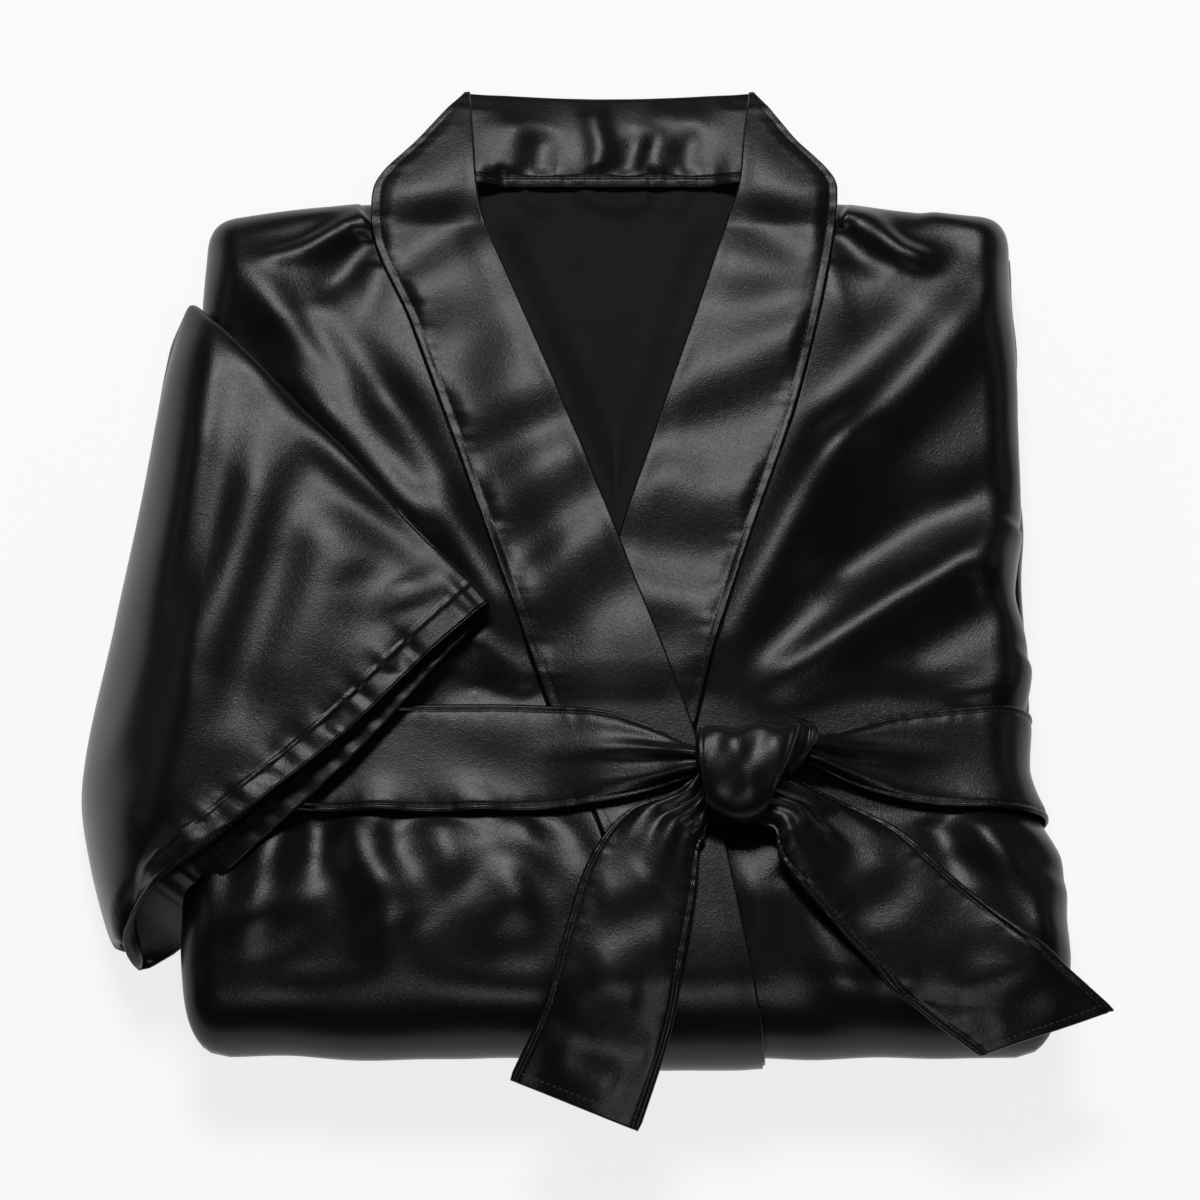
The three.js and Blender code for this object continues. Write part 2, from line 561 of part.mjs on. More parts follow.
function neckband(rows, rise, stations, endsInRoll) {
  const across = 5;
  const columnsAt = (y) => [readTable(rows, 'y', 'outerX', y), readTable(rows, 'y', 'innerX', y)];
  const sheet = gridSheet(across, stations.length - 1, (i, j) => {
    const y = stations[j];
    const edges = columnsAt(y);
    const x = mix(Math.min(...edges), Math.max(...edges), i / across);
    const place = endsInRoll ? Math.max(y, readTable(ENDS, 'x', 'bottom', x)) : y;
    return new THREE.Vector3(x, place, bandHeight(x, place));
  });
  if (endsInRoll) {
    const path = [];
    for (let i = across; i >= 0; i -= 1) path.push(sheet.id(i, stations.length - 1));
    addTurn(sheet, path, false, SIDE_TURN.length, (k, edge) => panelTurnRow(k, edge.z, 1));
  }
  return wall(movedOut(sheet, (p) => rise(p.x, p.y)), DOUBLE);
}

const COLLAR_STATIONS = [262, 254, 244, 234, 224, 214, 204, 197, 190, 183, 176];
function bandStations(down, lowest) {
  const steps = Math.round((176 - lowest) / down);
  const lower = [];
  for (let k = 1; k <= steps; k += 1) lower.push(mix(176, lowest, k / steps));
  return [...COLLAR_STATIONS, ...lower];
}

function rightNeckband() {
  const straightEnd = -221 + FRONT_ROLL;
  const roll = [...ROLL_STEPS].reverse().slice(1).map((s) => -221 + s * FRONT_ROLL);
  const stations = [...bandStations(17, straightEnd), ...roll];
  return neckband(RIGHT_BAND, (x, y) => overlapRise(x, y) + 0.6, stations, true);
}

function leftNeckband() {
  return neckband(LEFT_BAND, () => 0.6, bandStations(17, -73), false);
}

// The back stretch of the neckband, its inner face up, behind the back neck seam.
function backNeckband() {
  const across = 12;
  const steps = [0, 0.06, 0.2, 0.4, 0.6, 0.8, 0.94, 1];
  const puff = [0, 1.2, 2.2, 2.4, 2.0, 1.2, 0.5, 0];
  const sheet = gridSheet(across, steps.length - 1, (i, j) => {
    const t = 1 - steps[j];
    const y = mix(COLLAR.seamY, COLLAR.topY - 1.5, t) - 4 * t * (1 - (2 * i / across - 1) ** 2) * 0.6;
    const left = mix(COLLAR.seamLeft, COLLAR.topLeft, t) - 5 * (1 - t);
    const right = mix(COLLAR.seamRight, COLLAR.topRight, t) + 5 * (1 - t);
    const z = mix(COLLAR.seamZ - 3.5, COLLAR.topZ - 1.5, t) + puff[steps.length - 1 - j];
    return new THREE.Vector3(mix(left, right, i / across), y, z);
  });
  return wall(sheet, DOUBLE);
}

// The back panel's inner side, seen inside the neck opening.
function backPanel() {
  const across = 9;
  const stations = [COLLAR.seamY - SEAM_GAP, 204, 198, 190, 181, 168, 150, 130, 110, 90, 70, 52, 38, 24, 10];
  const sheet = gridSheet(across, stations.length - 1, (i, j) => {
    const nominal = stations[j];
    const x = mix(rightInner(Math.min(nominal, 200)) - TUCK, leftInner(Math.min(nominal, 200)) + TUCK, i / across);
    const y = nominal;
    const onPacket = packetHeight(x, Math.min(y, COLLAR.leaveY)) - CLOTH - GAP - openingSag(x, Math.min(y, 184)) + 2.5;
    const atSeam = COLLAR.seamZ - 4.5;
    const z = mix(onPacket, atSeam, smooth(COLLAR.leaveY - 8, COLLAR.seamY, y));
    return new THREE.Vector3(x, y, z);
  });
  return wall(sheet, CLOTH);
}

// ---- sleeves ----
// Middle of the flattened sleeve: u from the cuff's low corner to the upper fold, v from
// the turn edge (0) to the cuff (1), or back under beside the packet (down to -1).
function sleevePoint(u, v) {
  const read = (rows, place) => new THREE.Vector3(...['x', 'y', 'z'].map((c) => readTable(rows, 'at', c, place)));
  const turn = read(SLEEVE_TURN, u);
  if (v < 0) {
    const t = -v;
    const low = SLEEVE_TUCK.z;
    const bend = new THREE.Vector3(turn.x - SLEEVE_TUCK.bulge, turn.y, Math.max(low, 0.35 * turn.z));
    const end = new THREE.Vector3(SLEEVE_TUCK.x, turn.y, low);
    return turn.multiplyScalar((1 - t) ** 2).addScaledVector(bend, 2 * t * (1 - t)).addScaledVector(end, t * t);
  }
  const hem = read(SLEEVE_HEM, u);
  const fold = read(SLEEVE_UPPER_FOLD, v);
  const flat = turn.clone().lerp(hem, v);
  // From the low turn edge the cloth climbs the packet's side, then lies flat.
  const run = Math.hypot(flat.x - turn.x, flat.y - turn.y);
  const climb = Math.sin(Math.min(1, run / 52) * Math.PI / 2) ** 0.9;
  const level = Math.min(Math.max(hem.z, 64) + 1.5 * Math.sin(Math.PI * v), hem.z + 60 * (1 - v));
  const z = mix(mix(turn.z, level, climb), mix(turn.z, hem.z, climb), v ** 3);
  const folds = foldHeight(SLEEVE_FOLDS, flat.x, flat.y) * smooth(0, 0.25, v) * smooth(0, 0.2, u);
  return new THREE.Vector3(flat.x, flat.y, z + folds).lerp(fold, smooth(0.8, 1, u));
}

// Places round the flattened tube: along is 0..1 from fold to fold, side is 1 on top.
function tubePlaces(count) {
  const along = [0, 0.012, 0.045];
  for (let k = 1; k < count; k += 1) along.push(mix(0.045, 0.955, k / count));
  along.push(0.955, 0.988, 1);
  const across = (a) => Math.sqrt(Math.max(0, 1 - Math.abs(2 * a - 1) ** 14));
  const top = along.map((a) => ({ along: a, side: across(a) }));
  const under = [...along].reverse().slice(1, -1).map((a) => ({ along: a, side: -across(a) }));
  return [...top, ...under];
}

function rightSleeve() {
  // Rows: from beside the packet, round the turn edge, across the front to the cuff.
  const steps = [-1, -0.7, -0.42, -0.2, 0, 0.07, 0.16, 0.28, 0.42, 0.58, 0.74, 0.88, 0.95, 1];
  const places = tubePlaces(12);
  const directionOf = (u, v) => {
    const e = 0.012;
    const du = sleevePoint(Math.min(1, u + e), v).sub(sleevePoint(Math.max(0, u - e), v));
    const dv = sleevePoint(u, Math.min(1, v + e)).sub(sleevePoint(u, Math.max(-1, v - e)));
    return new THREE.Vector3().crossVectors(dv, du).normalize();
  };
  const ring = (v, inward) => places.map(({ along, side }) => {
    const u = inward ? mix(0.013, 0.987, along) : mix(0.004, 0.996, along);
    const mouth = smooth(0.72, 1, v);
    const half = mix(SLEEVE_TUBE, readTable(SLEEVE_HEM, 'at', 'mouth', u), mouth) / 2;
    const wallHere = v > 0.93 ? SLEEVE_WALL + 0.3 : SLEEVE_WALL;
    // The under layer's lip goes on past the upper one at the cuff.
    const lip = Math.max(0, -side) * mouth * 0.8;
    const p = sleevePoint(u, v);
    p.x += readTable(SLEEVE_HEM, 'at', 'lipX', u) * lip;
    p.y += readTable(SLEEVE_HEM, 'at', 'lipY', u) * lip;
    return p.addScaledVector(directionOf(u, v), side * (inward ? half - wallHere : half));
  });
  const rings = steps.map((v) => ({ outer: ring(v, false), inner: ring(v, true) }));
  const points = [];
  const faces = [];
  const n = places.length;
  const all = [...rings.map((r) => r.outer), ...rings.map((r) => r.inner).reverse()];
  all.forEach((r) => points.push(...r));
  const count = all.length;
  for (let k = 0; k < count; k += 1) {
    const next = (k + 1) % count;
    for (let s = 0; s < n; s += 1) {
      const t = (s + 1) % n;
      faces.push([k * n + s, next * n + s, next * n + t], [k * n + s, next * n + t, k * n + t]);
    }
  }
  return { points, faces };
}

// Down the left side only: a C-shaped fold hung on the packet's right-hand border.
function leftSleeve() {
  const stations = 18;
  const sheet = gridSheet(stations, LEFT_SLEEVE_FOLD.length - 1, (i, j) => {
    const y = mix(LEFT_SLEEVE_SPAN.toY, LEFT_SLEEVE_SPAN.fromY, i / stations);
    const edge = readTable(SIDES, 'y', 'right', y);
    const ceiling = packetHeight(edge, y) - SIDE_TURN[SIDE_TURN.length - 1].drop;
    const row = LEFT_SLEEVE_FOLD[j];
    const straight = 0.6 * Math.max(0, 195 - edge);
    return new THREE.Vector3(edge + straight - row.inset, y, row.height * ceiling);
  });
  return wall(sheet, CLOTH);
}

// ---- belt ----
// Height of the belt's face over the packet: its own wall and what it lies on.
const liftUnderBelt = (x, y) => 0.6 + overlapRise(x, y) * (1 - smooth(75, 115, x)) + BELT_LIFT + DOUBLE;
const archAcross = (t) => 1 - (2 * t - 1) ** 2;

// stations give the lines across the belt, by their distance from the packet's side.
function beltStretch(rows, stations, side) {
  const across = 6;
  const arches = [];
  const inwards = side === 'left' ? 1 : -1;
  const sheet = gridSheet(stations.length - 1, across, (i, j) => {
    const fromSide = side === 'left' ? stations[i] : stations[stations.length - 1 - i];
    const nominalX = readTable(SIDES, 'y', side, -88) + inwards * fromSide;
    const t = j / across;
    const y = mix(readTable(rows, 'x', 'upperY', nominalX), readTable(rows, 'x', 'lowerY', nominalX), t);
    const edge = readTable(SIDES, 'y', side, y);
    const x = mix(edge + inwards * fromSide, nominalX, smooth(SIDE_ROLL, 3 * SIDE_ROLL, fromSide));
    arches.push(readTable(rows, 'x', 'arch', x) * archAcross(t));
    return new THREE.Vector3(x, y, packetHeight(x, y));
  });
  const path = [];
  if (side === 'left') for (let j = across; j >= 0; j -= 1) path.push(sheet.id(0, j));
  else for (let j = 0; j <= across; j += 1) path.push(sheet.id(stations.length - 1, j));
  addTurn(sheet, path, false, SIDE_TURN.length - 1, (k, edge) => panelTurnRow(k, edge.z, 0));
  return wall(movedOut(sheet, (p, k) => liftUnderBelt(p.x, p.y) + (arches[k] || 0)), DOUBLE);
}

const BELT_ROLL = ROLL_STEPS.map((s) => s * SIDE_ROLL);
function beltRightStretch() {
  const toKnot = [34, 52, 72, 94, 116, 136, 153, 167, 179, 190, 200, 209, 217, 225];
  return beltStretch(BELT_RIGHT_STRETCH, [...BELT_ROLL, ...toKnot], 'left');
}

function beltLeftStretch() {
  return beltStretch(BELT_LEFT_STRETCH, [...BELT_ROLL, 28, 41, 54, 65, 74, 82, 88.5], 'right');
}

// A closed lump of wound belt: rounded rings from its underside to its crown.
function knotLump(knot) {
  const around = 22;
  const rows = [-25, -5, 15, 35, 55, 75];
  const points = [];
  const faces = [];
  const floor = packetHeight(knot.x, knot.y) + knot.base;
  const middle = floor + knot.height * 0.35;
  for (const degrees of rows) {
    const angle = THREE.MathUtils.degToRad(degrees);
    const reach = Math.cos(angle) ** 0.75;
    const z = degrees < 0 ? mix(middle, floor, Math.sin(-angle) / Math.sin(THREE.MathUtils.degToRad(25)))
      : mix(middle, floor + knot.height, Math.sin(angle) ** 1.15);
    for (let s = 0; s < around; s += 1) {
      const turn = (2 * Math.PI * s) / around;
      const c = Math.cos(turn);
      const d = Math.sin(turn);
      const r = (Math.abs(c) ** knot.squareness + Math.abs(d) ** knot.squareness) ** (-1 / knot.squareness);
      points.push(new THREE.Vector3(knot.x + knot.halfWidth * c * r * reach,
        knot.y + knot.halfLength * d * r * reach, z));
    }
  }
  for (let k = 0; k < rows.length - 1; k += 1) {
    for (let s = 0; s < around; s += 1) {
      const t = (s + 1) % around;
      faces.push([k * around + s, k * around + t, (k + 1) * around + t],
        [k * around + s, (k + 1) * around + t, (k + 1) * around + s]);
    }
  }
  const top = points.length;
  points.push(new THREE.Vector3(knot.x, knot.y, floor + knot.height * 1.01));
  points.push(new THREE.Vector3(knot.x, knot.y, floor));
  for (let s = 0; s < around; s += 1) {
    const t = (s + 1) % around;
    const last = (rows.length - 1) * around;
    faces.push([last + s, last + t, top], [t, s, top + 1]);
  }
  return { points, faces };
}

// A tail from under the knot to its slanted end; edge a is on its left. It lies on the
// packet as far as the fold's edge and goes straight on from there to its hanging end.
function beltTail(rows, droop) {
  const along = 18;
  const across = 6;
  const offsets = [];
  const places = [];
  for (let i = 0; i <= across; i += 1) {
    const t = i / across;
    const placeAt = (at) => {
      const read = (column) => readTable(rows, 'at', column, at);
      const x = mix(read('ax'), read('bx'), t);
      const y = mix(read('ay'), read('by'), t);
      const turn = edgeTurn(x, y);
      return { x, y, z: packetHeight(x, y), turned: Math.max(turn.side, turn.front) };
    };
    let leaves = 0.3;
    while (leaves < 1 && placeAt(leaves).turned < 0.72) leaves += 0.002;
    const leaveZ = placeAt(leaves).z;
    const endZ = mix(droop.az, droop.bz, t);
    const line = [];
    for (let j = 0; j <= along; j += 1) {
      const at = j / along;
      const place = placeAt(at);
      if (at > leaves) place.z = mix(leaveZ, endZ, (at - leaves) / (1 - leaves));
      line.push(place);
    }
    places.push(line);
  }
  const sheet = gridSheet(across, along, (i, j) => {
    const { x, y, z } = places[i][j];
    const read = (column) => readTable(rows, 'at', column, j / along);
    offsets.push(liftUnderBelt(x, y) + read('lift') + read('arch') * archAcross(i / across));
    return new THREE.Vector3(x, y, z);
  });
  return wall(movedOut(sheet, (p, k) => offsets[k]), DOUBLE);
}

// ---- nodes ----
const BLACK_SATIN = { color: 0x121214, roughness: 0.38, metalness: 0 };
const DULL_SATIN = { color: 0x171718, roughness: 0.7, metalness: 0 };

function node(name, body, look) {
  const geometry = new THREE.BufferGeometry().setFromPoints(body.points);
  geometry.setIndex(body.faces.flat());
  geometry.computeVertexNormals();
  const mesh = new THREE.Mesh(geometry, new THREE.MeshStandardMaterial({ ...look }));
  mesh.name = name;
  return mesh;
}

const group = new THREE.Group();
group.add(node('folded_layers', foldedLayers(), BLACK_SATIN));
group.add(node('front_right', rightFront(), BLACK_SATIN));
group.add(node('front_left', leftFront(), BLACK_SATIN));
group.add(node('neckband_right', rightNeckband(), BLACK_SATIN));
group.add(node('neckband_left', leftNeckband(), BLACK_SATIN));
group.add(node('neckband_back', backNeckband(), BLACK_SATIN));
group.add(node('back_panel', backPanel(), DULL_SATIN));
group.add(node('sleeve_right', rightSleeve(), BLACK_SATIN));

group.add(node('sleeve_left', leftSleeve(), BLACK_SATIN));
group.add(node('belt_right_stretch', beltRightStretch(), BLACK_SATIN));
group.add(node('belt_left_stretch', beltLeftStretch(), BLACK_SATIN));
group.add(node('belt_knot', knotLump(KNOT), BLACK_SATIN));
group.add(node('belt_knot_turn', knotLump(KNOT_TURN), BLACK_SATIN));
group.add(node('belt_tail_right', beltTail(TAIL_RIGHT, TAIL_DROOP.right), BLACK_SATIN));
group.add(node('belt_tail_left', beltTail(TAIL_LEFT, TAIL_DROOP.left), BLACK_SATIN));

// The origin is the middle of the bounding box, on the surface the packet lies on.
const box = new THREE.Box3().setFromObject(group);
const middle = box.getCenter(new THREE.Vector3());
group.position.set(-middle.x, -middle.y, -box.min.z);

export default group;
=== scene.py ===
# A black satin kimono robe folded into a flat packet: its looks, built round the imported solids.
# Places are in millimetres on the packet, +X to the viewer's right, +Y to the collar.
# Left and right in the names are the wearer's, so "right" lies on the -X side.
import json
import math
import bpy
import numpy as np
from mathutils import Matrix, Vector

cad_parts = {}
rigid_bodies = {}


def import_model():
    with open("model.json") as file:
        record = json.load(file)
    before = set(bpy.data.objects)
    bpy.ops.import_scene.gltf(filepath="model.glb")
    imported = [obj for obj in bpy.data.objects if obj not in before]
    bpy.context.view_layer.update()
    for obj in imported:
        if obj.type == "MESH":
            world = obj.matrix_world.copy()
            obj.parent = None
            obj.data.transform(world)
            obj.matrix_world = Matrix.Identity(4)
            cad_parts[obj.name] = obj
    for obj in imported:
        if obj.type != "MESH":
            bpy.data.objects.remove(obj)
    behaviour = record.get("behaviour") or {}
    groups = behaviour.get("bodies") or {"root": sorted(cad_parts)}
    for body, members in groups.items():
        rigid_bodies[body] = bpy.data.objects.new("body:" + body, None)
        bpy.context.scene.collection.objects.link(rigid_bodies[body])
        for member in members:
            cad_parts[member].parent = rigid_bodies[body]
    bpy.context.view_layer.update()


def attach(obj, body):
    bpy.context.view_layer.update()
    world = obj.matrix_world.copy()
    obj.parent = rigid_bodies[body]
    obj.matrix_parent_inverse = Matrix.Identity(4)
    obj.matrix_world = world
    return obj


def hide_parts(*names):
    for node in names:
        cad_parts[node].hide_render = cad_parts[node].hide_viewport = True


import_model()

MM = 0.001
PACKET_MIDDLE = np.array([4.9115, -3.7587, 0.0])   # from packet places to the row frame

# ---- sizes: the solids' own, but loose ends lie a little freer here than in the solids ----
CLOTH_WALL, DOUBLE_WALL = 1.1, 1.6          # what is drawn of a single and of a double layer
CLOTH, DOUBLE = 1.5, 2.2                    # the room each of them takes in the stack
GAP, SEAM_GAP = 1.7, 0.8
SIDE_ROLL, BACK_ROLL, FRONT_ROLL = 17, 18, 31       # how far in from each border it turns down
SIDE_DROP, BACK_DROP, FRONT_DROP = 16, 13, 27
CORNER_POWER = 3
OVERLAP_RISE = 3.4
V_DEPTH = 3.2
TUCK = 12
BELT_LIFT = 1.2
HEM_BAND = 11.5
PACKET_LENGTH = 420
BACK_Y, FRONT_Y = 203, -220


class Table:
    """A short table: the names of its columns, then its rows. Called with a column's name and
    places along the first column, it reads that column on a smooth curve through every row."""

    def __init__(self, columns, *rows):
        self.columns = dict(zip(columns.split(), np.array(rows, float).T))
        self.along = next(iter(self.columns.values()))

    def __call__(self, column, place):
        xs, ys = self.along, self.columns[column]
        if xs[0] > xs[-1]:
            xs, ys = xs[::-1], ys[::-1]
        slope = np.diff(ys) / np.diff(xs)
        bend = np.empty(len(xs))
        bend[0], bend[-1] = slope[0], slope[-1]
        one, two = slope[:-1], slope[1:]
        limit = np.minimum(np.abs(one + two) / 2, 3 * np.minimum(np.abs(one), np.abs(two)))
        bend[1:-1] = np.where(one * two > 0, np.sign(two) * limit, 0)
        place = np.clip(np.asarray(place, float), xs[0], xs[-1])
        k = np.clip(np.searchsorted(xs, place, side="right") - 1, 0, len(xs) - 2)
        span = xs[k + 1] - xs[k]
        t = (place - xs[k]) / span
        t2, t3 = t * t, t * t * t
        return ((2 * t3 - 3 * t2 + 1) * ys[k] + (t3 - 2 * t2 + t) * span * bend[k]
                + (3 * t2 - 2 * t3) * ys[k + 1] + (t3 - t2) * span * bend[k + 1])


SIDES = Table("y left right",
             (-221, -181, 201), (-200, -184, 206), (-174, -185, 208), (-135, -186, 207),
             (-112, -184, 198), (-85, -184, 190), (-55, -186, 193), (-30, -187, 195),
             (5, -187, 190), (40, -187, 194), (120, -187, 195), (203, -187, 194))
ENDS = Table("x shoulder bottom",
            (-190, 194, -217), (-142, 200, -219), (-105, 203, -220), (0, 204, -221),
            (110, 203, -220), (145, 200, -219), (205, 195, -217))
CROWN = Table("y height side_loss",
             (-221, 57, 4), (-170, 59, 3), (-134, 58.5, 4), (-112, 55.5, 6), (-64, 55.5, 6),
             (-42, 57, 4), (60, 56, 3), (150, 53, 3), (204, 48, 2))
RIGHT_BAND = Table("y outer inner",
                  (262, -64.6, -63.4), (235, -84.4, -61.4), (204, -106.8, -59), (190, -107.6, -56.5),
                  (130, -87, -34), (62, -64, -8), (0, -43.5, 14.5), (-75, -18, 41),
                  (-128, 2.5, 54), (-170, 12, 62), (-222, 20, 72))
LEFT_BAND = Table("y outer inner",
                 (262, 73.6, 72.4), (235, 91, 69.4), (204, 111.8, 66), (190, 111, 61.8),
                 (98, 92.5, 33.4), (16, 66.5, 8.2), (-3, 60.6, 3.2), (-40, 49.6, 17.5), (-74, 41.5, 30))
COLLAR = dict(seam_y=208.5, top_y=262.5, seam_left=-57, seam_right=65, top_left=-64, top_right=73,
              leave_y=184, seam_z=48.5, top_z=41)
SLEEVE_TURN = Table("at x y z",
                   (0, -216, -164, 15), (.12, -226, -126, 12), (.26, -233, -86, 11),
                   (.5, -220, -12, 21), (.78, -205, 76, 35), (.9, -199.5, 113, 41),
                   (.96, -196, 130, 44), (1, -190, 142.5, 47))
SLEEVE_HEM = Table("at x y z lip_x lip_y mouth",
                  (0, -205, -173, 9, 4, -8, 24), (.06, -203, -161, 32, 11, -16, 30),
                  (.16, -192, -147, 55, 11, -16, 21), (.32, -164, -126, 67, 9, -13, 11),
                  (.55, -117, -86, 69, 6, -9, 6.5), (.8, -77, -44, 69, 3, -6, 5.5),
                  (1, -51, -18, 66, 0, 0, 5))
SLEEVE_UPPER_FOLD = Table("at x y z",
                         (0, -190, 142.5, 47), (.15, -177, 123.5, 60), (.4, -141, 82, 64),
                         (.7, -97, 34, 66), (1, -51, -18, 66))
SLEEVE_TUBE = 5.2                    # from the flattened sleeve's lower face to its upper one
SLEEVE_TUCK = dict(x=-191.5, z=4.2, bulge=3)
PACKET_SIDE_X = -168                 # from here the sleeve leaves the packet's top
BELT_RIGHT = Table("x upper lower arch",
                  (-184, -64, -112, 0), (-128, -65, -115, 0), (-54, -64.5, -116, 0),
                  (-18, -66, -114.5, .6), (9, -70.5, -111, 2.5), (26, -78, -106.5, 5.5),
                  (41, -87.5, -101, 8.5), (48, -90, -99, 8.5))
BELT_LEFT = Table("x upper lower arch",
                 (89, -82, -94, 8.5), (98, -80, -96, 8), (108, -76.5, -101, 5.5), (126, -70.5, -107.5, 2.5),
                 (152, -66, -112, .6), (178, -62.5, -113, 0), (192, -61, -112, 0))
TAIL_RIGHT = Table("at ax ay bx by lift arch",
                  (-.08, 45, -98, 50, -114, 3, 4), (0, 37, -106, 47, -128, 2.5, 5),
                  (.08, 28, -110.5, 46.5, -132, 1.5, 5),
                  (.22, 14, -117, 44, -136, .8, 4), (.42, -3, -138, 42, -155, .8, 2),
                  (.65, -14, -169, 37, -184, .8, .8), (.84, -24, -204, 30, -217, 1.5, .3),
                  (1, -38.5, -234, 17, -256, 1.5, 0))
TAIL_LEFT = Table("at ax ay bx by lift arch",
                 (-.1, 65, -125, 82, -99, 3, 4), (0, 78, -131.5, 97, -107, 2.5, 5),
                 (.08, 79, -137, 104, -110, 1.5, 5),
                 (.2, 81, -143, 113, -114, .8, 4), (.38, 93, -160, 134, -127, .8, 2),
                 (.62, 113, -183, 159, -151, .8, .8), (.82, 140, -208, 193, -179, 2.2, .3),
                 (1, 165, -226, 224, -204, 1.5, 0))
TAIL_DROOP = dict(right=(42, 37), left=(47, 46))     # heights of each end's two corners
SIDE_TURN = Table("step inset drop", (0, 0, 0), (.25, .6, 4), (.5, 2.2, 7.5), (.75, 4.8, 10), (1, 8.5, 11.5))
FRONT_TURN_RADIUS, FRONT_TURN_ANGLE, FRONT_TURN_END = 27, 80, 4.8
LEFT_SLEEVE_FOLD = Table("step height inset",
                        (0, .93, 3.5), (.1, .91, .8), (.3, .82, -1.2), (.5, .67, -2),
                        (.7, .52, -1.4), (.9, .43, .6), (1, .40, 2.8))
LEFT_SLEEVE_SPAN = (184, -62)
LEFT_SLEEVE_BELOW_TOP = 11.5

# The largest folds, as in the solids: a soft ridge or trough between two places.
BIG_FOLDS = (
    # x0, y0, x1, y1, width, rise
    (-165, 158, -100, 82, 17, 4.5), (-100, 82, -48, -10, 13, 4.5), (-141, 139, -84, 50, 9, -2.0),
    (-140, 98, -86, 30, 9, 2.5), (-112, 184, -150, 168, 6, 2.2), (182, 147, 110, 64, 17, 4.5),
    (110, 64, 60, -28, 14, 4.5), (178, 14, 86, -48, 12, 4.0), (186, 50, 110, 8, 12, -2.5),
    (118, 186, 148, 166, 6, 2.2), (-146, -124, -152, -165, 12, 3.2), (-98, -122, -92, -172, 12, 3.5),
    (-52, -122, -34, -160, 11, 3.0), (84, -140, 104, -190, 12, 3.0), (176, -128, 190, -168, 13, 4.0),
)
SLEEVE_BIG_FOLDS = (
    (-186, 80, -212, -70, 14, 3.0), (-150, 50, -176, -60, 13, 2.5), (-145, 60, -72, -2, 9, 1.8),
)


# ---- small helpers ----
def mix(a, b, t):
    return a + (b - a) * t


def clamp(t):
    return np.clip(t, 0.0, 1.0)


def smooth(a, b, t):
    s = clamp((t - a) / (b - a))
    return s * s * (3 - 2 * s)


def bell(t, centre, width):
    return np.exp(-((t - centre) / width) ** 2)


def arch_across(t):
    return 1 - (2 * t - 1) ** 2


def grid_of(x, y, z):
    return np.stack(np.broadcast_arrays(x, y, z), -1)


def spread(values, shape):
    """Values given along one side of a grid, for every place of it."""
    return np.broadcast_to(values, shape).reshape(-1)


def grid_place(part, parts):
    """Where a part of a width lies, counted in the lines of a grid."""
    return np.interp(part, parts, np.arange(len(parts)))


def read_along(spots, run, values):
    return np.stack([np.interp(spots, run, values[:, axis]) for axis in range(3)], -1)


# ---- the packet's top surface ----
def big_fold_height(folds, x, y):
    total = np.zeros_like(x)
    for x0, y0, x1, y1, width, rise in folds:
        dx, dy = x1 - x0, y1 - y0
        length = math.hypot(dx, dy)
        t = ((x - x0) * dx + (y - y0) * dy) / length ** 2
        across = ((x - x0) * dy - (y - y0) * dx) / length
        beyond = np.maximum(0, np.maximum(-t, t - 1)) * length
        total = total + rise * np.exp(-(across / width) ** 2 - (beyond / (1.6 * width)) ** 2)
    return total


def edge_turn(x, y):
    """How far a place lies into the turned edges: 0 on the flat, 1 on the outline."""
    left, right = SIDES("left", y), SIDES("right", y)
    shoulder, bottom = ENDS("shoulder", x), ENDS("bottom", x)
    side = clamp(1 - np.minimum(x - left, right - x) / SIDE_ROLL)
    back = clamp(1 - (shoulder - y) / BACK_ROLL)
    front = clamp(1 - (y - bottom) / FRONT_ROLL)
    return side, back, front


def packet_height(x, y):
    x, y = np.broadcast_arrays(np.asarray(x, float), np.asarray(y, float))
    crown = (CROWN("height", y)
             - CROWN("side_loss", y) * np.minimum(1, np.abs(x - 5) / 190) ** 3)
    side, back, front = (turn ** CORNER_POWER for turn in edge_turn(x, y))
    total = side + back + front
    level = crown + big_fold_height(BIG_FOLDS, x, y) * (1 - 0.8 * clamp(total))
    drop = (side * SIDE_DROP + back * BACK_DROP + front * FRONT_DROP) / np.maximum(total, 1e-9)
    return level - drop * (1 - np.sqrt(1 - clamp(total) ** (2 / CORNER_POWER)))


def overlap_rise(x, y):
    """The right front is lifted where it lies over the left one, and below the belt."""
    start = mix(-70, -30, smooth(120, -60, y))
    return OVERLAP_RISE * smooth(start, start + 34, x)


# ---- creases ----
SOFTNESS = 1.3      # thin satin lies in wide round folds


def smooth_line(points, pieces=5):
    """A given line of points, made into a smooth run of short straight pieces."""
    p = np.array(points, float)
    p = np.vstack([2 * p[0] - p[1], p, 2 * p[-1] - p[-2]])
    t = np.linspace(0, 1, pieces + 1)[:, None]
    out = []
    for k in range(1, len(p) - 2):
        a, b, c, d = p[k - 1:k + 3]
        run = 0.5 * (2 * b + (c - a) * t + (2 * a - 5 * b + 4 * c - d) * t ** 2
                     + (3 * b - a - 3 * c + d) * t ** 3)
        out.append(run[:-1])
    return np.vstack(out + [p[-2:-1]])


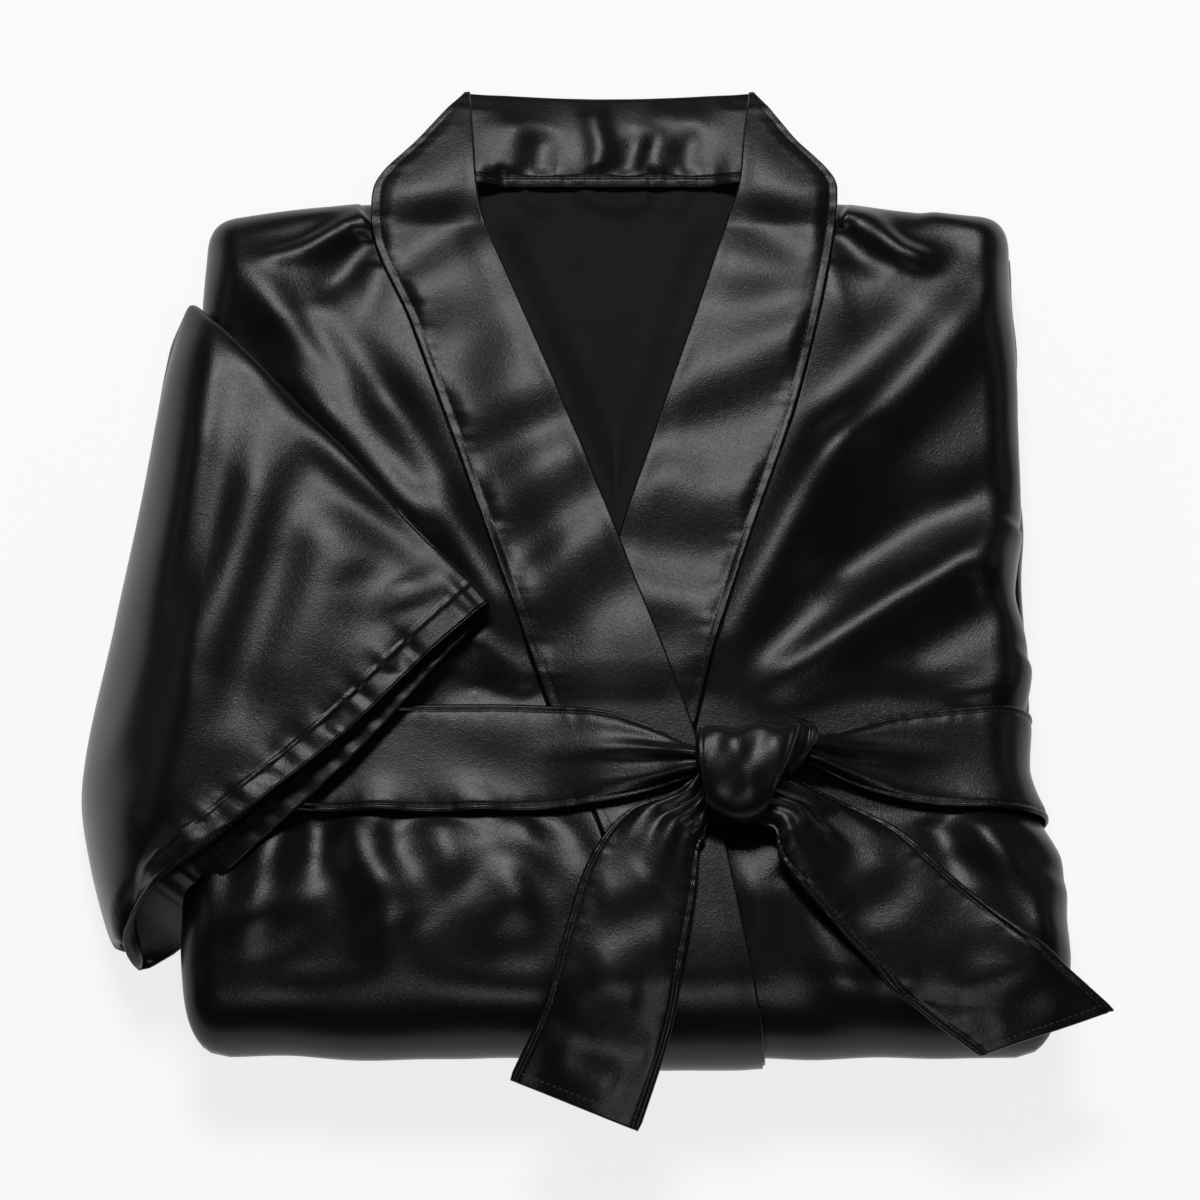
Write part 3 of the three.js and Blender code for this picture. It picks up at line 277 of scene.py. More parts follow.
def crease_height(creases, x, y):
    """Soft ridges and troughs. Each crease: its line, width on its left and right side when
    walked from the first point, rise, and how much of its run each end takes to fade in."""
    total = np.zeros_like(x)
    for line, left, right, rise, fade_in, fade_out in creases:
        run = smooth_line(line)
        steps = np.hypot(*np.diff(run, axis=0).T)
        start = np.concatenate([[0], np.cumsum(steps)[:-1]])
        whole = steps.sum()
        reach = 3 * SOFTNESS * max(left, right)
        near = ((x > run[:, 0].min() - reach) & (x < run[:, 0].max() + reach)
                & (y > run[:, 1].min() - reach) & (y < run[:, 1].max() + reach))
        px, py = x[near][:, None], y[near][:, None]
        if not px.size:
            continue
        ax, ay = run[:-1, 0], run[:-1, 1]
        dx, dy = np.diff(run[:, 0]), np.diff(run[:, 1])
        t = np.clip(((px - ax) * dx + (py - ay) * dy) / steps ** 2, 0, 1)
        ox, oy = px - ax - t * dx, py - ay - t * dy
        far = np.hypot(ox, oy)
        k = far.argmin(1)
        n = np.arange(len(k))
        side = dx[k] * oy[n, k] - dy[k] * ox[n, k]
        along = (start[k] + t[n, k] * steps[k]) / whole
        width = np.where(side > 0, left, right) * SOFTNESS
        fade = 1.0
        if fade_in:
            fade = fade * smooth(0, fade_in, along)
        if fade_out:
            fade = fade * smooth(0, fade_out, 1 - along)
        total[near] += rise * fade * bell(far[n, k], 0, width)
    return total


def swell(x, y, size, seed, waves=10):
    """The gentle uneven lie of thin cloth: about -1 to 1, over places some size apart."""
    rng = np.random.default_rng(seed)
    total = np.zeros_like(x)
    for _ in range(waves):
        angle, phase = rng.uniform(0, math.pi), rng.uniform(0, 2 * math.pi)
        length = size * rng.uniform(0.75, 1.5)
        total = total + np.sin(2 * math.pi * (x * math.cos(angle) + y * math.sin(angle)) / length + phase)
    return total / math.sqrt(waves)


def puckers(along, distance, pitch, reach, seed):
    """Small uneven gathers beside a seam, dying out with the distance from it."""
    rng = np.random.default_rng(seed)
    wave = np.zeros_like(along)
    for factor in (0.62, 0.83, 1.0, 1.27, 1.7):
        wave = wave + rng.uniform(0.5, 1) * np.sin(2 * math.pi * factor * along / pitch
                                                   + rng.uniform(0, 2 * math.pi))
    return wave / 1.9 * np.exp(-(np.maximum(distance, 0) / reach) ** 2)


# ---- sheets of cloth ----
def unit(v):
    return v / np.maximum(np.linalg.norm(v, axis=-1, keepdims=True), 1e-9)


def dot(a, b):
    return (a * b).sum(-1, keepdims=True)


class Sheet:
    """The outer face of one layer of cloth: its places and the four-cornered faces between."""

    def __init__(self, grid, ring=False):
        lines, columns = grid.shape[:2]
        self.ids = np.arange(lines * columns).reshape(lines, columns)
        self.points = grid.reshape(-1, 3).copy()
        ids = np.hstack([self.ids, self.ids[:, :1]]) if ring else self.ids
        self.faces = np.stack([ids[:-1, :-1], ids[1:, :-1], ids[1:, 1:], ids[:-1, 1:]], -1).reshape(-1, 4)

    @property
    def x(self):
        return self.points[:, 0]

    @property
    def y(self):
        return self.points[:, 1]

    def normals(self):
        a, b, c, d = (self.points[self.faces[:, k]] for k in range(4))
        face = np.cross(c - a, d - b)
        total = np.zeros_like(self.points)
        for k in range(4):
            for axis in range(3):
                total[:, axis] += np.bincount(self.faces[:, k], face[:, axis], len(total))
        return unit(total)

    def move_out(self, distance):
        self.points = self.points + self.normals() * np.reshape(distance, (-1, 1))

    def border(self, sides):
        """Places along these sides, clockwise from above, each with its neighbour inside."""
        ids = self.ids
        lines = {"right": (ids[:, -1], ids[:, -2]), "bottom": (ids[-1, ::-1], ids[-2, ::-1]),
                 "left": (ids[::-1, 0], ids[::-1, 1]), "top": (ids[0, :], ids[1, :])}
        edge, inside = [], []
        for side in sides:
            e, n = lines[side]
            if edge:
                inside[-1] = n[1]
                e, n = e[1:], n[1:]
            edge.extend(e)
            inside.extend(n)
        if len(sides) == 4:
            edge, inside = edge[:-1], inside[:-1]
            inside[0] = lines[sides[0]][1][1]
        return np.array(edge), np.array(inside)

    def hang(self, path, new_rows, closed=False):
        """Adds rows of places under a path of border places."""
        above = np.asarray(path)
        for row in new_rows:
            here = len(self.points) + np.arange(len(row))
            self.points = np.vstack([self.points, row])
            quads = np.stack([above, np.roll(above, -1), np.roll(here, -1), here], 1)
            self.faces = np.vstack([self.faces, quads if closed else quads[:-1]])
            above = here
        return above

    def roll_edge(self, sides, radius, turn=130, steps=5):
        """Rounds a folded or hemmed edge over and back under."""
        edge, inside = self.border(sides)
        normal = self.normals()[edge]
        base = self.points[edge]
        out = base - self.points[inside]
        out = unit(out - normal * dot(out, normal))
        angles = np.radians(np.linspace(0, turn, steps + 1)[1:])
        self.hang(edge, [base + out * radius * math.sin(a) - normal * radius * (1 - math.cos(a))
                         for a in angles], closed=len(sides) == 4)

    def walled(self, thickness):
        """Gives the layer its wall: outer and inner places and a rim between them."""
        count = len(self.points)
        inner = self.points - self.normals() * np.reshape(thickness, (-1, 1))
        edges = np.vstack([self.faces[:, [k, (k + 1) % 4]] for k in range(4)])
        single = ~np.isin(edges[:, 0] * count + edges[:, 1], edges[:, 1] * count + edges[:, 0])
        rim = edges[single]
        rims = np.stack([rim[:, 1], rim[:, 0], rim[:, 0] + count, rim[:, 1] + count], 1)
        faces = np.vstack([self.faces, self.faces[:, ::-1] + count, rims])
        return np.vstack([self.points, inner]), faces.tolist()


def in_scene(name, data):
    thing = bpy.data.objects.new(name, data)
    bpy.context.scene.collection.objects.link(thing)
    return thing


def made(name, points, faces, slot, material):
    """A finished mesh as a piece of the robe, riding on its one body."""
    mesh = bpy.data.meshes.new(name)
    mesh.from_pydata(((points + PACKET_MIDDLE) * MM).tolist(), [], faces)
    mesh.materials.append(material)
    mesh.shade_smooth()
    piece = in_scene(name, mesh)
    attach(piece, "root")
    return piece


def dressed(node_name, sheet, thickness, slot):
    """The cloth that is seen in place of one solid."""
    piece = made(node_name + "_cloth", *sheet.walled(thickness), slot, FINISHES[slot])
    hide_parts(node_name)
    return piece


# ---- finishes ----
def plug(tree, shader, links):
    """Sets a node's input sockets; links maps them to values or to other sockets."""
    for key, value in links.items():
        if isinstance(value, bpy.types.NodeSocket):
            tree.links.new(value, shader.inputs[key])
        else:
            shader.inputs[key].default_value = value


def node(tree, kind, links=None, **settings):
    shader = tree.nodes.new(kind)
    for key, value in settings.items():
        setattr(shader, key, value)
    plug(tree, shader, links or {})
    return shader


def math_node(tree, operation, *values):
    return node(tree, "ShaderNodeMath", dict(enumerate(values)), operation=operation).outputs[0]


def crinkle_group():
    """Fine worm-like crinkle of washed satin, its floating threads and soft unevenness."""
    group = bpy.data.node_groups.new("satin_crinkle", "ShaderNodeTree")
    for label in ("Crinkle", "Weave"):
        group.interface.new_socket(label, in_out="INPUT", socket_type="NodeSocketFloat")
    for label in ("Height", "Wear"):
        group.interface.new_socket(label, in_out="OUTPUT", socket_type="NodeSocketFloat")
    given, put = group.nodes.new("NodeGroupInput"), group.nodes.new("NodeGroupOutput")
    place = node(group, "ShaderNodeTexCoord").outputs["Object"]
    worms = node(group, "ShaderNodeTexNoise", {"Vector": place, "Scale": 330.0, "Detail": 1.0,
                                               "Distortion": 1.2})
    ridge = math_node(group, "ABSOLUTE", math_node(group, "SUBTRACT", worms.outputs["Fac"], 0.5))
    line = node(group, "ShaderNodeMapRange", {"Value": ridge, "From Min": 0.0, "From Max": 0.09,
                                              "To Min": 1.0, "To Max": 0.0}, interpolation_type="SMOOTHSTEP")
    threads = node(group, "ShaderNodeTexNoise", {"Vector": place, "Scale": 1400.0, "Detail": 2.0})
    broad = node(group, "ShaderNodeTexNoise", {"Vector": place, "Scale": 46.0, "Detail": 3.0,
                                               "Roughness": 0.6})
    crinkle = math_node(group, "MULTIPLY", line.outputs["Result"], given.outputs["Crinkle"])
    weave = math_node(group, "MULTIPLY", threads.outputs["Fac"], given.outputs["Weave"])
    plug(group, put, {"Height": math_node(group, "ADD", crinkle, weave), "Wear": broad.outputs["Fac"]})
    return group


CRINKLE = crinkle_group()
BLACK, WORN_BLACK = (0.0035, 0.0035, 0.0039, 1), (0.0055, 0.0055, 0.0060, 1)
BELT_BLACK, BELT_WORN_BLACK = (0.0036, 0.0036, 0.0040, 1), (0.0056, 0.0056, 0.0062, 1)
REVERSE_BLACK, REVERSE_WORN_BLACK = (0.0032, 0.0032, 0.0035, 1), (0.0052, 0.0052, 0.0056, 1)
THREAD_BLACK, THREAD_GREY = (0.030, 0.030, 0.032, 1), (0.065, 0.065, 0.070, 1)
ROUGHNESS_SPREAD = 0.04      # to either side, over the cloth's soft unevenness
WEAVE, RELIEF_DEPTH = 0.12, 0.0006


def finish(name):
    """A new material, with its shader tree and the surface in it."""
    material = bpy.data.materials.new(name)
    material.use_nodes = True
    return material, material.node_tree, material.node_tree.nodes["Principled BSDF"]


def two_tone(tree, share, first, second):
    return node(tree, "ShaderNodeMix", {"Factor": share, "A": first, "B": second},
                data_type="RGBA").outputs["Result"]


def satin(name, colour, worn_colour, roughness, gloss, crinkle=1.0, relief_strength=0.075):
    """A woven satin: dark yarn, a broad sheen, fine crinkle."""
    material, tree, surface = finish(name)
    grain = node(tree, "ShaderNodeGroup", node_tree=CRINKLE)
    plug(tree, grain, {"Crinkle": crinkle, "Weave": WEAVE})
    wear = grain.outputs["Wear"]
    rough = node(tree, "ShaderNodeMapRange", {"Value": wear, "To Min": roughness - ROUGHNESS_SPREAD,
                                              "To Max": roughness + ROUGHNESS_SPREAD})
    relief = node(tree, "ShaderNodeBump", {"Height": grain.outputs["Height"], "Strength": relief_strength,
                                           "Distance": RELIEF_DEPTH})
    plug(tree, surface, {"Base Color": two_tone(tree, wear, colour, worn_colour),
                         "Roughness": rough.outputs["Result"], "Normal": relief.outputs["Normal"],
                         "Specular IOR Level": gloss})
    material.diffuse_color = colour
    return material


FINISHES = {
    "satin": satin("black_satin", BLACK, WORN_BLACK, 0.31, 0.30),
    "neckband_satin": satin("neckband_satin", BLACK, WORN_BLACK, 0.32, 0.30),
    "belt_satin": satin("belt_satin", BELT_BLACK, BELT_WORN_BLACK, 0.32, 0.32),
    "satin_reverse": satin("satin_reverse", REVERSE_BLACK, REVERSE_WORN_BLACK, 0.60, 0.15,
                           crinkle=0.5, relief_strength=0.03)}


def thread_finish():
    material, tree, surface = finish("sewing_thread")
    place = node(tree, "ShaderNodeTexCoord").outputs["Object"]
    ply = node(tree, "ShaderNodeTexNoise", {"Vector": place, "Scale": 2200.0, "Detail": 1.0})
    plug(tree, surface, {"Base Color": two_tone(tree, ply.outputs["Fac"], THREAD_BLACK, THREAD_GREY),
                         "Roughness": 0.42, "Specular IOR Level": 0.6})
    return material


THREAD = thread_finish()


# ---- stitches ----
STITCH = dict(length=2.0, width=0.46, height=0.40, pitch=2.9, reach=0.8, lift=0.02)


def one_stitch():
    """The stitch that every sewn line repeats: a short rounded bar of thread."""
    bpy.ops.object.select_all(action="DESELECT")
    bpy.ops.mesh.primitive_uv_sphere_add(segments=6, ring_count=5, radius=0.5)
    bar = bpy.context.object
    bpy.ops.object.mode_set(mode="EDIT")
    bpy.ops.mesh.select_all(action="SELECT")
    bpy.ops.transform.rotate(value=math.pi / 2, orient_axis="Y", center_override=(0, 0, 0))
    bpy.ops.transform.resize(value=(STITCH["length"], STITCH["width"], STITCH["height"]),
                             center_override=(0, 0, 0))
    bpy.ops.object.mode_set(mode="OBJECT")
    places = np.array([v.co for v in bar.data.vertices], float)
    faces = [tuple(p.vertices) for p in bar.data.polygons]
    mesh = bar.data
    bpy.data.objects.remove(bar)
    bpy.data.meshes.remove(mesh)
    return places, faces


STITCH_PLACES, STITCH_FACES = one_stitch()


def line_places(sheet, column=None, row=None):
    """Places and normals along one column or row of a sheet's grid, which may lie between two."""
    normal = sheet.normals()
    ids = sheet.ids if column is not None else sheet.ids.T
    at = column if column is not None else row
    k = min(int(at), ids.shape[1] - 2)
    a, b = ids[:, k], ids[:, k + 1]
    return mix(sheet.points[a], sheet.points[b], at - k), unit(mix(normal[a], normal[b], at - k))


def stitched(name, lines, slot):
    """Every stitch of one piece's sewn lines, set along them at an even pitch."""
    places, faces, count = [], [], 0
    for line, normal in lines:
        run = np.concatenate([[0], np.cumsum(np.linalg.norm(np.diff(line, axis=0), axis=1))])
        spots = np.arange(STITCH["pitch"] / 2, run[-1], STITCH["pitch"])
        middle = read_along(spots, run, line)
        up = unit(read_along(spots, run, normal))
        ahead = (read_along(spots + STITCH["reach"], run, line)
                 - read_along(spots - STITCH["reach"], run, line))
        ahead = unit(ahead - up * dot(ahead, up))
        across = np.cross(up, ahead)
        for k in range(len(spots)):
            turned = STITCH_PLACES @ np.stack([ahead[k], across[k], up[k]])
            places.append(turned + middle[k] + up[k] * STITCH["lift"])
            faces.extend([tuple(v + count for v in f) for f in STITCH_FACES])
            count += len(STITCH_PLACES)
    return made(name, np.vstack(places), faces, slot, THREAD)


# ---- the two fronts ----
def spacing(length, start_roll, end_roll, step):
    """Distances from one border to the other, with close steps along each turned edge."""
    close = np.linspace(0, 1, 11)[:-1] ** 1.5
    start = start_roll * close if start_roll else np.array([])
    end = (length - end_roll * close)[::-1] if end_roll else np.array([])
    count = round((length - start_roll - end_roll) / step)
    return np.concatenate([start, np.linspace(start_roll, length - end_roll, count + 1), end])


def panel_grid(left_border=None, right_border=None, width=190, step=2.2):
    """Top face of a panel between two borders; None stands for the packet's own side."""
    along = spacing(PACKET_LENGTH, BACK_ROLL, FRONT_ROLL, step)[:, None]
    first, last = (0 if left_border else 100), (1000 if right_border else 900)
    across = spacing(1000, first, 1000 - last, 1000 * step / width)[None, :]
    nominal = mix(BACK_Y, FRONT_Y, along / PACKET_LENGTH)
    turned = (clamp(1 - along / BACK_ROLL) ** CORNER_POWER
              + clamp(1 - (PACKET_LENGTH - along) / FRONT_ROLL) ** CORNER_POWER)
    corner = SIDE_ROLL * (1 - (1 - clamp(turned)) ** (1 / CORNER_POWER))
    x0 = left_border(nominal) if left_border else SIDES("left", nominal) + corner
    x1 = right_border(nominal) if right_border else SIDES("right", nominal) - corner
    roll_left = 0 if left_border else np.maximum(2, SIDE_ROLL - corner)
    roll_right = 0 if right_border else np.maximum(2, SIDE_ROLL - corner)
    x = mix(x0 + roll_left, x1 - roll_right, (across - first) / (last - first))
    x = np.where(across < first, x0 + across / 100 * roll_left, x)
    x = np.where(across > last, x1 - (1000 - across) / 100 * roll_right, x)
    half, middle_y = PACKET_LENGTH / 2, mix(BACK_Y, FRONT_Y, 0.5)
    back, front = ENDS("shoulder", x), ENDS("bottom", x)
    y = np.where(along <= half, back - along * (back - middle_y) / half,
                 mix(middle_y, front, (along - half) / half))
    return grid_of(x, y, packet_height(x, y))


def turn_directions(points, path, closed):
    """At each border place: outwards, the bottom roll's share, and how far its inset reaches."""
    here = points[path]
    if closed:
        before, after = np.roll(here, 1, 0), np.roll(here, -1, 0)
    else:
        before, after = np.vstack([here[:1], here[:-1]]), np.vstack([here[1:], here[-1:]])
    out = unit(np.stack([-(after - before)[:, 1], (after - before)[:, 0]], 1))
    for _ in range(10):
        before, after = np.roll(out, 1, 0), np.roll(out, -1, 0)
        if not closed:
            before[0], after[-1] = out[0], out[-1]
        out = unit(before + 2 * out + after)
    from_bottom = here[:, 1] - ENDS("bottom", here[:, 0])
    return here, out, smooth(62, 18, from_bottom), clamp(1 - from_bottom / 56) ** 1.5


def turn_row(edge, out, share, reach, step, more_inset=0.0, more_front=0.0, more_z=0.0):
    """One row of a turned edge: step goes from 0 at the widest line to 1 where it ends."""
    angle = math.radians(FRONT_TURN_ANGLE * step)
    inset = SIDE_TURN("inset", step) + more_inset
    front_inset = FRONT_TURN_RADIUS * (1 - math.cos(angle)) + more_front
    front_z = mix(edge[:, 2], FRONT_TURN_END, math.sin(angle) / math.sin(math.radians(FRONT_TURN_ANGLE)))
    z = mix(edge[:, 2] - SIDE_TURN("drop", step), front_z, share) + more_z
    return turned_places(edge, out, reach, inset, front_inset, z)


def turned_places(edge, out, reach, inset, front_inset, z):
    backwards = np.maximum(0, out[:, 1]) * inset
    return grid_of(edge[:, 0] - out[:, 0] * inset, edge[:, 1] - backwards + front_inset * reach, z)


def turn_down(sheet, sides, rows, end=1, share=None, reach=None):
    """Hangs a turned edge under some sides of a sheet, and returns the border it hangs from."""
    path, _ = sheet.border(sides)
    edge, out, own_share, own_reach = turn_directions(sheet.points, path, False)
    share = own_share if share is None else share
    reach = own_reach if reach is None else reach
    sheet.hang(path, [turn_row(edge, out, share, reach, step) for step in np.linspace(0, end, rows + 1)[1:]])
    return path


FRONT_PRESSED, BAND_PRESSED = 0.85, 0.8      # how much of their folds the belt takes out


def under_belt(y):
    """1 where the belt presses on what is below it."""
    return smooth(-54, -66, y) * smooth(-124, -112, y)


def front_piece(name, grid, turned_sides, creases, seed, rise=None):
    sheet = Sheet(grid)
    turn_down(sheet, turned_sides, 12)
    if rise:
        sheet.move_out(rise(sheet.x, sheet.y))
    # Broad, middling and small unevenness; the middling one only on the skirt.
    x, y = sheet.x, sheet.y
    lie = crease_height(creases, x, y) + 0.8 * swell(x, y, 85, seed) + 0.05 * swell(x, y, 30, seed + 1)
    lie = lie + 0.8 * swell(x, y, 48, seed + 7) * smooth(-128, -165, y)
    sheet.move_out(lie * (1 - FRONT_PRESSED * under_belt(y)))
    return dressed(name, sheet, CLOTH_WALL, "satin")


# Creases of the right front (on the viewer's left): line, left width, right width, rise, fades.
RIGHT_FRONT_CREASES = (
    (((-172, 170), (-155, 143), (-117, 102), (-84, 57), (-62, 14), (-38, -22)), 13, 8, 1.8, .2, .3),
    (((-143, 140), (-118, 104), (-92, 70), (-72, 36)), 9, 8, -2.2, .2, .4),
    (((-140, 98), (-112, 66), (-89, 35), (-70, 8)), 7, 8, 1.5, .2, .3),
    (((-180, 132), (-154, 98), (-134, 70)), 12, 12, -1.6, .3, .3),
    (((-110, 190), (-124, 181), (-140, 167), (-160, 161)), 6, 5, 2.4, .05, .5),
    (((-110, 180), (-118, 162), (-132, 148), (-148, 142)), 6, 6, -1.8, .05, .5),
    (((-112, 197), (-130, 192), (-152, 188)), 5, 5, 1.2, .05, .5),
    (((-104, 165), (-108, 142), (-118, 124)), 6, 6, 1.1, .1, .6),
    (((-64, -28), (-44, -42), (-27, -57)), 6, 7, 1.9, .2, .2),
    (((-80, -34), (-62, -48), (-50, -58)), 7, 7, -1.5, .3, .2),
    (((-86, -46), (-64, -36), (-50, -26)), 5, 5, 1.1, .3, .3),
    (((-140, -112), (-146, -134), (-160, -158)), 9, 9, 2.2, .02, .5),
    (((-126, -112), (-126, -136), (-132, -160)), 7, 7, -1.8, .02, .5),
    (((-112, -112), (-107, -136), (-100, -162)), 8, 7, 2.6, .02, .5),
    (((-93, -112), (-91, -134), (-84, -156)), 7, 7, -2.2, .02, .5),
    (((-74, -112), (-68, -134), (-58, -160)), 7, 8, 2.4, .02, .5),
    (((-56, -114), (-48, -132), (-36, -148)), 6, 6, -2.0, .02, .5),
    (((-38, -115), (-30, -131), (-14, -152)), 6, 6, 1.8, .02, .5),
    (((-20, -115), (-10, -130), (2, -150)), 5, 6, -1.1, .02, .6),
    (((-172, -128), (-176, -160), (-170, -190)), 8, 6, 1.6, .3, .4),
    (((-178, -168), (-150, -160), (-122, -168)), 14, 12, 1.4, .3, .4),
    (((-110, -150), (-98, -164), (-88, -178)), 14, 14, 1.3, .3, .3),
    (((-62, -150), (-50, -162), (-34, -172)), 12, 12, 1.2, .3, .3),
    (((-156, -188), (-112, -186), (-70, -188)), 12, 12, -1.0, .3, .3),
)
LEFT_FRONT_CREASES = (
    (((184, 148), (150, 101), (104, 58), (70, 0), (59, -30)), 10, 14, 1.8, .15, .3),
    (((152, 144), (120, 106), (92, 70)), 12, 12, -1.8, .3, .3),
    (((162, 58), (128, 22), (96, -16)), 12, 12, -2.2, .3, .3),
    (((188, 20), (152, -2), (124, -18), (81, -56)), 9, 9, 2.0, .2, .3),
    (((184, -12), (160, -26), (130, -46)), 10, 10, -1.8, .2, .3),
    (((193, 32), (189, 14), (180, 4), (164, 2)), 6, 6, 2.0, .1, .4),
    (((197, -34), (188, -48), (172, -57), (148, -60)), 7, 6, 2.2, .1, .4),
    (((114, 193), (129, 187), (143, 168), (170, 169)), 5, 6, 2.4, .05, .4),
    (((113, 184), (121, 168), (136, 154)), 6, 6, -1.6, .05, .5),
    (((106, 166), (112, 140), (120, 120)), 5, 6, 1.0, .1, .6),
    (((150, 197), (176, 185), (193, 170)), 7, 6, 1.6, .2, .3),
    (((60, -128), (66, -150), (78, -180), (102, -198)), 8, 8, 2.2, .05, .4),
    (((84, -140), (100, -160), (124, -176)), 7, 7, -1.6, .05, .5),
    (((164, -112), (176, -134), (197, -150)), 7, 7, 2.4, .05, .5),
    (((182, -112), (192, -124), (204, -132)), 5, 5, 1.4, .05, .5),
    (((148, -116), (156, -136), (168, -152)), 7, 7, -1.8, .05, .5),
    (((205, -140), (199, -166), (203, -186)), 6, 7, 1.8, .2, .4),
    (((118, -192), (150, -186), (184, -196)), 12, 10, 1.2, .3, .4),
)


def seam_beside_right_band(y):
    return RIGHT_BAND("outer", y) - SEAM_GAP


def seam_beside_left_band(y):
    """The left front's border: the neckband's seam, and lower down under the right neckband."""
    return mix(LEFT_BAND("outer", y) + SEAM_GAP, RIGHT_BAND("inner", y) - TUCK, smooth(-78, -108, y))


front_right_piece = front_piece("front_right", panel_grid(None, seam_beside_right_band),
                                ["bottom", "left", "top"], RIGHT_FRONT_CREASES, 11, overlap_rise)
front_left_piece = front_piece("front_left", panel_grid(seam_beside_left_band, None),
                               ["top", "right", "bottom"], LEFT_FRONT_CREASES, 23)


# ---- the neckband ----
def band_height(x, y):
    """On the packet, then leaving it behind the shoulder for the collar."""
    on_packet = packet_height(x, np.minimum(y, COLLAR["leave_y"]))
    t = clamp((y - COLLAR["leave_y"]) / (COLLAR["top_y"] - COLLAR["leave_y"]))
    collar = mix(COLLAR["seam_z"] + 4.5, COLLAR["top_z"] + 2.4, t ** 1.3) - 2.6 * smooth(250, 262, y)
    return mix(on_packet, collar, smooth(COLLAR["leave_y"], COLLAR["leave_y"] + 22, y))


def close_edges(width, edge=4.5, step=1.9):
    """Parts of a width, 0 to 1, closer together beside its two edges."""
    near = np.array([0, .5, 1.0, 1.5, 2.0, 2.5, 3.1, 3.8])
    middle = np.linspace(edge, width - edge, round((width - 2 * edge) / step) + 1)
    return np.concatenate([near, middle, (width - near)[::-1]]) / width


BAND_WIDTH = 53
BAND_STITCH = 3.0          # sewn line, from the seam
BAND_STITCH_TOP_Y = 256    # above this the line is hidden in the collar's fold
BAND_SLANT, BAND_RUN = 0.92, 1.08    # a band's width per mm of x, and its length per mm of y
RIGHT_BAND_CREASES = (
    (((-58, 226), (-70, 214), (-88, 196), (-112, 172)), 12.5, 12.5, 1.5, 0, 0),
    (((-48, 206), (-66, 188), (-84, 172), (-106, 156)), 9, 9, -1.0, 0, 0),
    (((-42, 176), (-60, 164), (-80, 150), (-102, 136)), 12.5, 12.5, 1.5, 0, 0),
    (((-34, 142), (-54, 128), (-74, 116), (-94, 104)), 12, 12, -1.3, 0, 0),
    (((-22, 100), (-42, 92), (-62, 84), (-84, 76)), 12, 12, 1.4, 0, 0),
    (((-16, 80), (-36, 70), (-56, 60), (-74, 50)), 9, 9, -1.1, 0, 0),
    (((-4, 66), (-22, 54), (-44, 40), (-64, 28)), 11, 11, 1.5, 0, 0),
    (((6, 44), (-14, 28), (-36, 14), (-56, 6)), 10, 10, -1.2, 0, 0),
    (((12, 34), (-8, 16), (-28, -2), (-48, -22)), 11, 11, 1.7, 0, 0),
    (((24, 2), (4, -14), (-18, -30), (-38, -42)), 10, 10, -1.3, 0, 0),
)
LEFT_BAND_CREASES = (
    (((62, 232), (78, 214), (98, 190), (118, 164)), 12.5, 12.5, 1.5, 0, 0),
    (((54, 202), (72, 188), (90, 174), (108, 160)), 9, 9, -0.9, 0, 0),
    (((48, 172), (66, 162), (86, 158), (108, 160)), 11, 11, 1.2, 0, 0),
    (((42, 142), (62, 140), (84, 144), (106, 150)), 11, 11, -1.2, 0, 0),
    (((28, 92), (48, 104), (70, 114), (96, 128)), 12.5, 12.5, 1.6, 0, 0),
    (((20, 70), (42, 76), (66, 82), (88, 92)), 12, 12, -1.3, 0, 0),
    (((8, 40), (28, 47), (50, 40), (78, 46)), 11.5, 11.5, 1.5, 0, 0),
    (((4, 16), (24, 13), (46, 10), (68, 6)), 11, 11, -1.2, 0, 0),
    (((8, -2), (28, -12), (48, -16), (60, -18)), 9, 9, 1.2, 0, 0),
)


def neckband_piece(name, table, outer_side, stations, creases, seed, rise, ends_in_roll):
    parts = close_edges(BAND_WIDTH)
    y = stations[:, None]
    edge_a, edge_b = table("outer", y), table("inner", y)
    x = mix(np.minimum(edge_a, edge_b), np.maximum(edge_a, edge_b), parts[None, :])
    place = np.maximum(y, ENDS("bottom", x)) if ends_in_roll else y
    sheet = Sheet(grid_of(x, place, band_height(x, place)))
    if ends_in_roll:
        turn_down(sheet, ["bottom"], 14, share=1.0)
    sheet.move_out(rise(sheet.x, sheet.y) + 0.6)
    # The double cloth is soft in the middle and drawn in along its sewn line.
    x, y = sheet.x, sheet.y
    width = np.maximum(np.abs(table("inner", y) - table("outer", y)), 1)
    from_seam = np.abs(x - table("outer", y)) * BAND_SLANT
    from_free = np.abs(x - table("inner", y)) * BAND_SLANT
    from_stitch = np.abs(from_seam - BAND_STITCH)
    lie = 0.5 * smooth(0, 10, np.minimum(from_seam, from_free))
    lie = lie - 0.20 * bell(from_seam, BAND_STITCH, 0.8)
    lie = lie + 0.14 * puckers(y * BAND_RUN, from_stitch, 11, 6, seed)
    lie = lie + crease_height(creases, x, y) * smooth(0.5, 9, from_seam) * mix(.8, 1, smooth(0, 6, from_free))
    lie = lie + 0.12 * swell(x, y, 40, seed + 3)
    free_from_collar = smooth(258, 240, y)
    sheet.move_out(lie * free_from_collar * (1 - BAND_PRESSED * under_belt(y)) * clamp(width / 20))
    seam_part = BAND_STITCH / BAND_SLANT / BAND_WIDTH
    if outer_side == "right":
        seam_part = 1 - seam_part
    sewn = line_places(sheet, column=grid_place(seam_part, parts))
    free_side = "right" if outer_side == "left" else "left"
    sheet.roll_edge([free_side], 1.0)
    sheet.roll_edge([outer_side], 0.7, turn=90, steps=3)
    piece = dressed(name, sheet, DOUBLE_WALL * 0.75, "neckband_satin")
    return piece, trimmed(sewn, lambda p: p[:, 1] < BAND_STITCH_TOP_Y)


def trimmed(line, keep):
    places, normal = line
    inside = keep(places)
    return places[inside], normal[inside]


